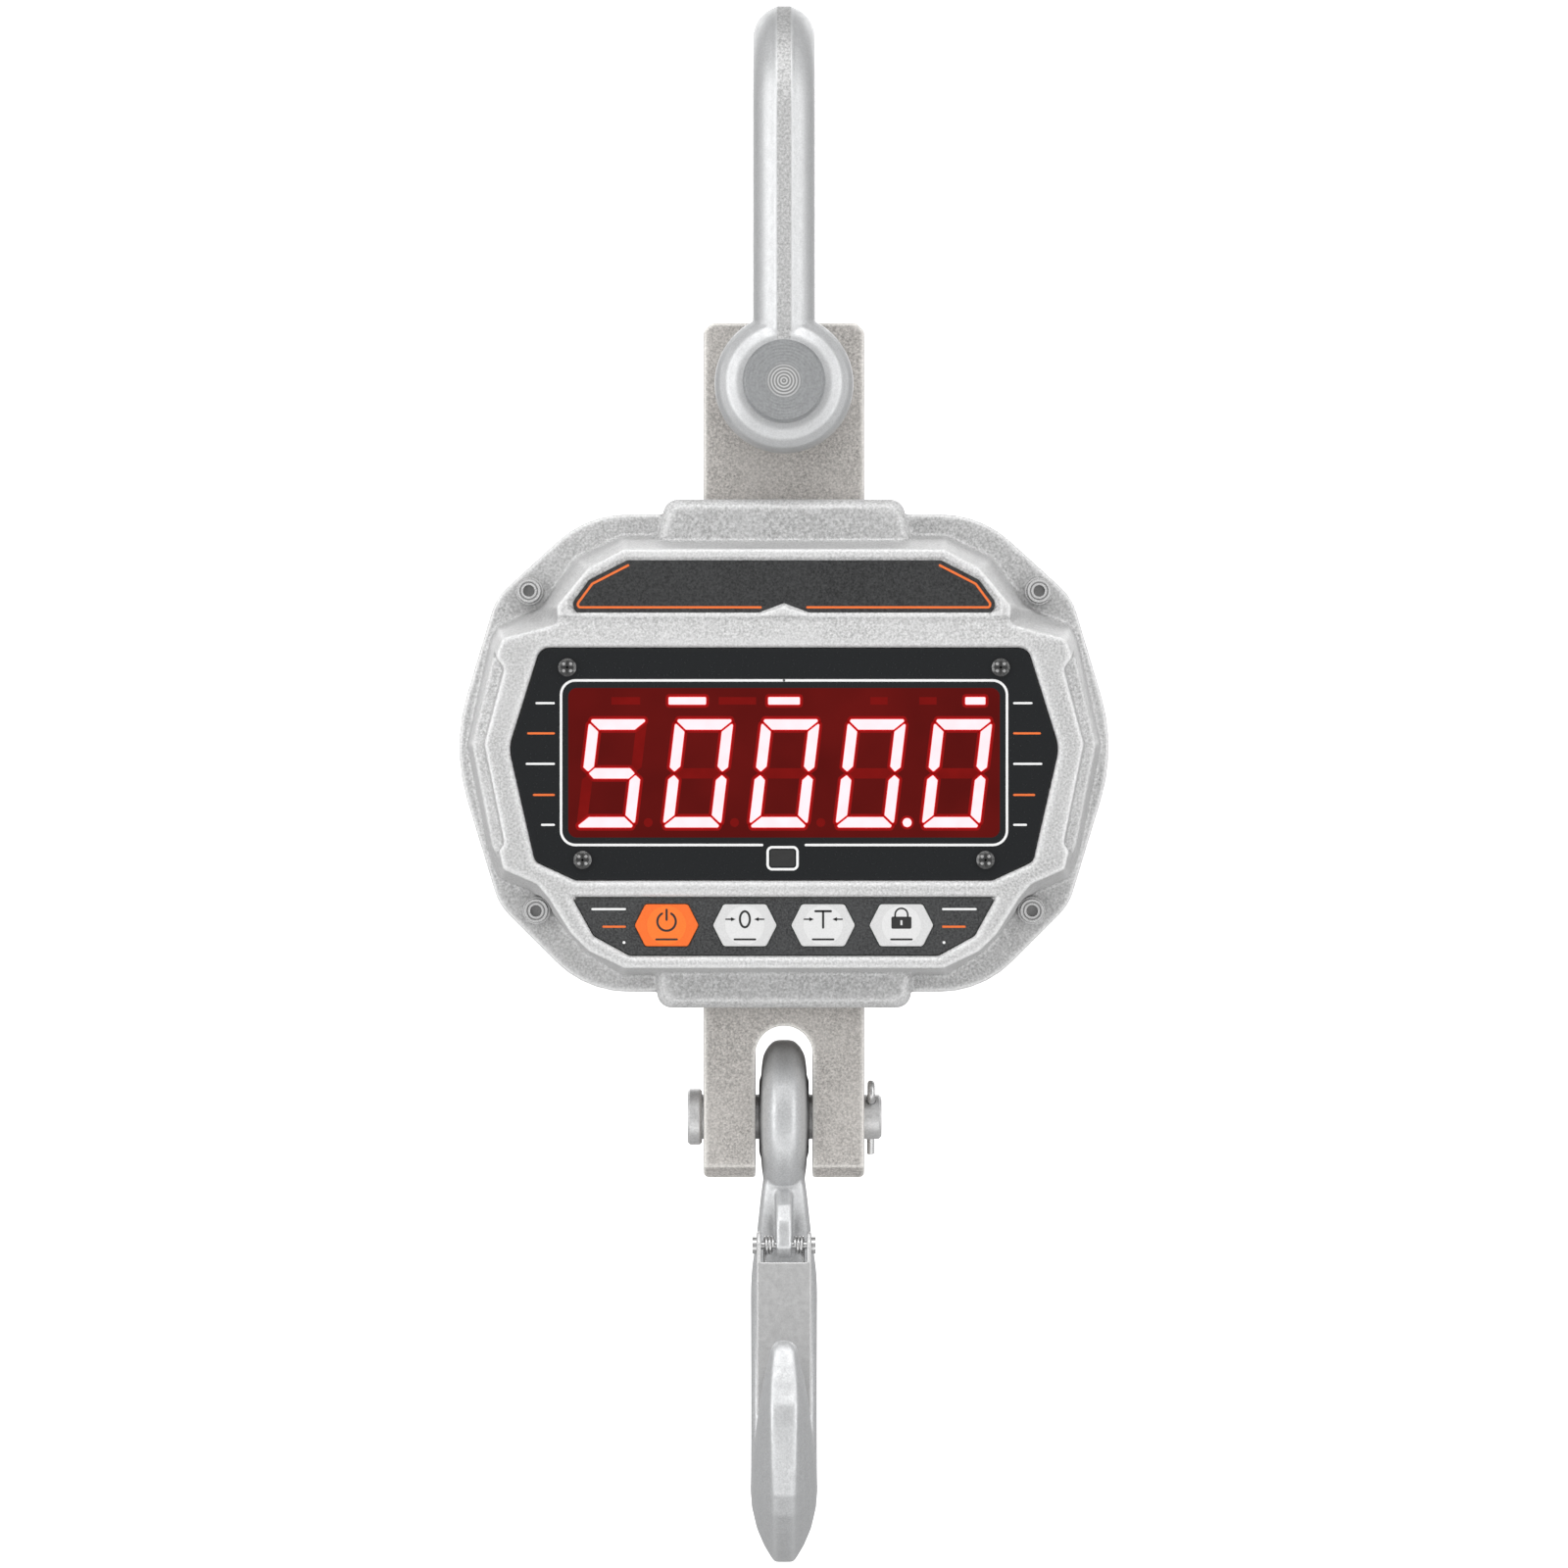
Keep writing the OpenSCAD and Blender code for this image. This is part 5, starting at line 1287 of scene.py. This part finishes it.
@dataclass
class Keypad:
    """The keypad film with its four keys and their symbols."""

    key_w: float = 22.2
    key_h: float = 14.6
    point_w: float = 3.7
    symbol_w: float = 0.78
    arrow_w: float = 0.5
    mark_w: float = 0.75
    dome_r: float = 6.8

    def build(self, finishes: Finishes) -> None:
        """Build the film, the keys and the printed symbols.

        Args:
            finishes: The finishes.
        """
        self._film(finishes)
        book = finishes.book
        keys = ((Body.POWER, "power_key", "film_orange", book.orange_key, book.orange_dome_lit, self._power),
                (Body.ZERO, "zero_key", "film_white", book.white_key, book.white_dome_lit, self._zero),
                (Body.TARE, "tare_key", "film_white", book.white_key, book.white_dome_lit, self._tare),
                (Body.HOLD, "hold_key", "film_white", book.white_key, book.white_dome_lit, self._lock))
        for body, node, slot, finish, dome_lit_finish, symbol in keys:
            low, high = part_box(node)
            x = (low[0] + high[0]) / 2 / MM
            z = (low[2] + high[2]) / 2 / MM
            front, back = low[1] / MM, high[1] / MM
            maker = MeshMaker()
            maker.plate(self._key_shape().rounded(1.3, 5).moved(x, z), front + 0.06, back, 0.25)
            add(maker, node + "_cap", finishes, finish, body, slot, node)
            # The dome gets the lighter copy of the key's finish: painted light on its face.
            raised = MeshMaker()
            raised.plate(Outline.circle(x, z, self.dome_r, 64), front + 0.02, front + 0.2, 0.03)
            add(raised, node + "_dome", finishes, dome_lit_finish, body, slot)
            printed = MeshMaker()
            for shape, holes in symbol():
                printed.plate(shape.moved(x, z), front, front + 0.1, holes=[o.moved(x, z) for o in holes])
            legend = stroke([(-3.6, -4.9), (3.6, -4.9)], 0.7)
            printed.plate(legend.moved(x, z), front, front + 0.1)
            add(printed, node + "_symbol", finishes, book.dark_print_and_shade, body, "film_dark")

    def _key_shape(self) -> Outline:
        """Give the six-sided outline of a key about its own middle."""
        w, h, flat = self.key_w / 2, self.key_h / 2, self.key_w / 2 - self.point_w
        return Outline(((flat, h), (w, 0), (flat, -h), (-flat, -h), (-w, 0), (-flat, h)))

    def _film(self, finishes: Finishes) -> None:
        """Build the film round the keys and print its end marks."""
        low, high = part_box("keypad_membrane")
        front, back = low[1] / MM, high[1] / MM
        top, bottom, half = high[2] / MM, low[2] / MM, high[0] / MM
        corner = [(half, top), (half - 7.2, top - 13.0), (half - 19.6, bottom)]
        outline = Outline.mirrored(corner).rounded(0.7, 3)
        holes = []
        for node in ("power_key", "zero_key", "tare_key", "hold_key"):
            klow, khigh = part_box(node)
            x = (klow[0] + khigh[0]) / 2 / MM
            z = (klow[2] + khigh[2]) / 2 / MM
            holes.append(self._key_shape().inset(-0.2).rounded(1.4, 4).moved(x, z))
        maker = MeshMaker()
        maker.plate(outline, front, back, 0.08, holes=holes)
        add(maker, "keypad_film", finishes, finishes.book.film, Body.SCALE, "film_dark", "keypad_membrane")
        white, orange = MeshMaker(), MeshMaker()
        for s in (-1, 1):
            long_mark = stroke([(s * 55.3, top - 3.9), (s * 66.6, top - 3.9)], self.mark_w)
            short_mark = stroke([(s * 55.3, top - 10.0), (s * 62.8, top - 10.0)], self.mark_w)
            white.plate(long_mark, front - 0.03, front + 0.1)
            white.plate(Outline.circle(s * 55.6, top - 15.5, 0.5, 16), front - 0.03, front + 0.1)
            orange.plate(short_mark, front - 0.03, front + 0.1)
        add(white, "keypad_white_marks", finishes, finishes.book.white_print, Body.SCALE, "film_white")
        add(orange, "keypad_orange_marks", finishes, finishes.book.orange_print, Body.SCALE, "film_orange")

    def _power(self) -> list[Shape]:
        """Draw the usual power symbol."""
        return [(stroke(arc(0, 1.3, 3.2, 30, 330, 28), self.symbol_w), []),
                (stroke([(0, 5.4), (0, 1.9)], self.symbol_w), [])]

    def _arrows(self) -> list[Shape]:
        """Draw two arrows that point at the middle."""
        shapes: list[Shape] = []
        for s in (-1, 1):
            shapes.append((stroke([(s * 6.6, 2.1), (s * 4.2, 2.1)], self.arrow_w), []))
            head = Outline(((3.2, 2.1), (4.8, 2.8), (4.8, 1.4)))
            shapes.append((head if s > 0 else head.flipped_x(0), []))
        return shapes

    def _zero(self) -> list[Shape]:
        """Draw a nought between arrows."""
        turn = math.tau / 48
        ring = Outline(tuple((2.1 * math.sin(i * turn), 2.1 + 3.15 * math.cos(i * turn)) for i in range(48)))
        return [(ring, [ring.inset(self.symbol_w)])] + self._arrows()

    def _tare(self) -> list[Shape]:
        """Draw the usual tare sign between arrows."""
        return [(stroke([(-2.7, 4.9), (2.7, 4.9)], self.symbol_w), []),
                (stroke([(0, 4.9), (0, -0.8)], self.symbol_w), [])] + self._arrows()

    def _lock(self) -> list[Shape]:
        """Draw a closed padlock."""
        body = Outline.rectangle(0, 0.9, 7.0, 4.2).rounded(0.5, 3)
        keyhole = Outline.rectangle(0, 0.9, 0.7, 1.7)
        bow = [(-2.2, 2.9)] + arc(0, 3.7, 2.2, -90, 90, 16) + [(2.2, 2.9)]
        return [(body, [keyhole]), (stroke(bow, 0.6), [])]


@dataclass
class HookAndLatch:
    """The forged hook, its spring latch, the latch pin and the torsion spring."""

    voxel_mm: float = 0.6
    latch_voxel_mm: float = 0.35
    passes: int = 16
    coil_mm: float = 2.9
    wire_mm: float = 1.1
    turns: float = 2.5

    def build(self, finishes: Finishes) -> None:
        """Build the hook, the latch and the spring.

        Args:
            finishes: The finishes.
        """
        book = finishes.book
        hook = recast("hook", "forged_hook", self.voxel_mm, self.passes)
        finishes.dress(hook, book.hook_paint)
        place(hook, Body.HOOK, "hook_paint")
        latch = recast("latch", "pressed_latch", self.latch_voxel_mm, 3)
        finishes.dress(latch, book.latch_zinc)
        place(latch, Body.LATCH, "zinc_steel")
        finishes.dress_node("latch_pin", book.zinc)
        self._spring(finishes)

    def _spring(self, finishes: Finishes) -> None:
        """Wind the torsion spring on both sides of the hook's lug."""
        low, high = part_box("latch_pin")
        centre = Vector((0, (low[1] + high[1]) / 2, (low[2] + high[2]) / 2))
        box_low, box_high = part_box("latch_spring")
        radius = self.coil_mm * MM
        wire = self.wire_mm * MM / 2
        maker = MeshMaker()
        for s in (-1, 1):
            path = []
            steps = 72
            for i in range(steps + 1):
                a = math.tau * self.turns * i / steps
                x = s * (3.75 + 1.2 * self.turns * i / steps) * MM
                path.append(centre + Vector((x, -radius * math.cos(a), radius * math.sin(a))))
            foot = Vector((path[-1].x, box_low[1] + wire, box_low[2] + wire))
            path.append(path[-1].lerp(foot, 0.5))
            path.append(foot)
            maker.tube(path, wire)
        spring = maker.build("latch_torsion_spring")
        finishes.dress(spring, finishes.book.zinc)
        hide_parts("latch_spring")
        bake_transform(spring)
        log.info("%s: %d faces, its legs follow the latch", spring.name, len(spring.data.polygons))


# ---------------------------------------------------------------- studio


@dataclass
class Studio:
    """The floor, the lights and the camera."""

    distance: float = 2.2
    view_w: float = 0.56
    eye_z: float = -0.2555
    floor_z: float = -3.0

    def build(self) -> None:
        """Set up the studio."""
        self._camera()
        self._floor()
        self._world()
        self._area("left_light", (-1.5, -1.0, -0.1), (1.3, 2.4), 18.0)
        self._area("right_light", (1.5, -1.0, -0.2), (1.3, 2.4), 14.0)
        self._area("top_light", (0.0, -1.1, 1.3), (1.8, 1.2), 17.0)
        self._area("low_light", (0.0, -1.3, -1.5), (2.2, 1.0), 8.0)
        self._area("back_light", (0.0, 1.9, 0.5), (2.4, 1.6), 20.0)

    def _camera(self) -> None:
        """Place the camera level with the middle of the view."""
        data = bpy.data.cameras.new("camera")
        data.sensor_width = 36.0
        data.lens = 36.0 * self.distance / self.view_w
        data.clip_end = 50.0
        camera = bpy.data.objects.new("camera", data)
        camera.location = (0.0, -self.distance, self.eye_z)
        camera.rotation_euler = (math.radians(90), 0, 0)
        bpy.context.collection.objects.link(camera)
        bpy.context.scene.camera = camera

    def _floor(self) -> None:
        """Lay a round pale floor that curves up into a wall all round."""
        profile = [(0.0, 0.0), (3.0, 0.0)]
        profile += [(3.0 + 1.5 * math.sin(math.radians(a)), 1.5 - 1.5 * math.cos(math.radians(a)))
                    for a in range(10, 91, 10)]
        profile += [(4.5, 6.0), (0.0, 6.0)]
        sides = 72
        vertices, faces = [], []
        for r, z in profile:
            for i in range(sides):
                a = math.tau * i / sides
                vertices.append((r * math.cos(a), r * math.sin(a), self.floor_z + z))
        for k in range(len(profile) - 1):
            for i in range(sides):
                a, b = k * sides + i, k * sides + (i + 1) % sides
                faces.append((a, b, b + sides, a + sides))
        mesh = bpy.data.meshes.new("studio_floor")
        mesh.from_pydata(vertices, [], faces)
        floor = bpy.data.objects.new("studio_floor", mesh)
        bpy.context.collection.objects.link(floor)
        g = Graph("studio_paper")
        g.link(g.blend(g.noise(300.0), (0.93, 0.93, 0.93), (0.91, 0.91, 0.91)), g.shader.inputs["Base Color"])
        g.shader.inputs["Roughness"].default_value = 0.9
        g.shader.inputs["Emission Color"].default_value = (1, 1, 1, 1)
        g.shader.inputs["Emission Strength"].default_value = 1.0
        mesh.materials.append(g.material)
        mesh.polygons.foreach_set("use_smooth", [True] * len(mesh.polygons))
        floor.visible_diffuse = False
        floor.visible_glossy = False
        floor.visible_shadow = False

    def _world(self) -> None:
        """Fill the room with soft white light."""
        world = bpy.data.worlds.new("studio_world")
        world.use_nodes = True
        background = world.node_tree.nodes["Background"]
        background.inputs["Color"].default_value = (1, 1, 1, 1)
        background.inputs["Strength"].default_value = 0.47
        bpy.context.scene.world = world
        bpy.context.scene.view_settings.view_transform = "Standard"

    def _area(self, name: str, spot: tuple[float, float, float], size: tuple[float, float],
              power: float) -> None:
        """Add a soft box aimed at the scale's middle.

        Args:
            name: The light's name.
            spot: Its place.
            size: Its width and height.
            power: Its power in watts.
        """
        data = bpy.data.lights.new(name, "AREA")
        data.shape = "RECTANGLE"
        data.size, data.size_y = size
        data.energy = power
        light = bpy.data.objects.new(name, data)
        light.location = spot
        light.visible_camera = False
        aim = Vector((0, 0, self.eye_z)) - Vector(spot)
        light.rotation_euler = aim.to_track_quat("-Z", "Y").to_euler()
        bpy.context.collection.objects.link(light)


def main() -> None:
    """Build the studio and every sub-assembly in order."""
    logging.basicConfig(level=logging.INFO, format="%(name)s %(message)s")
    finishes = Finishes()
    Studio().build()
    for part in (Shackle(), LoadCell(), Housing(), Inside(), DisplayWindow(), LabelFilm(), RatingLabel(),
                 Keypad(), HookAndLatch()):
        part.build(finishes)
        log.info("%s done", type(part).__name__)


if __name__ == "__main__":
    main()
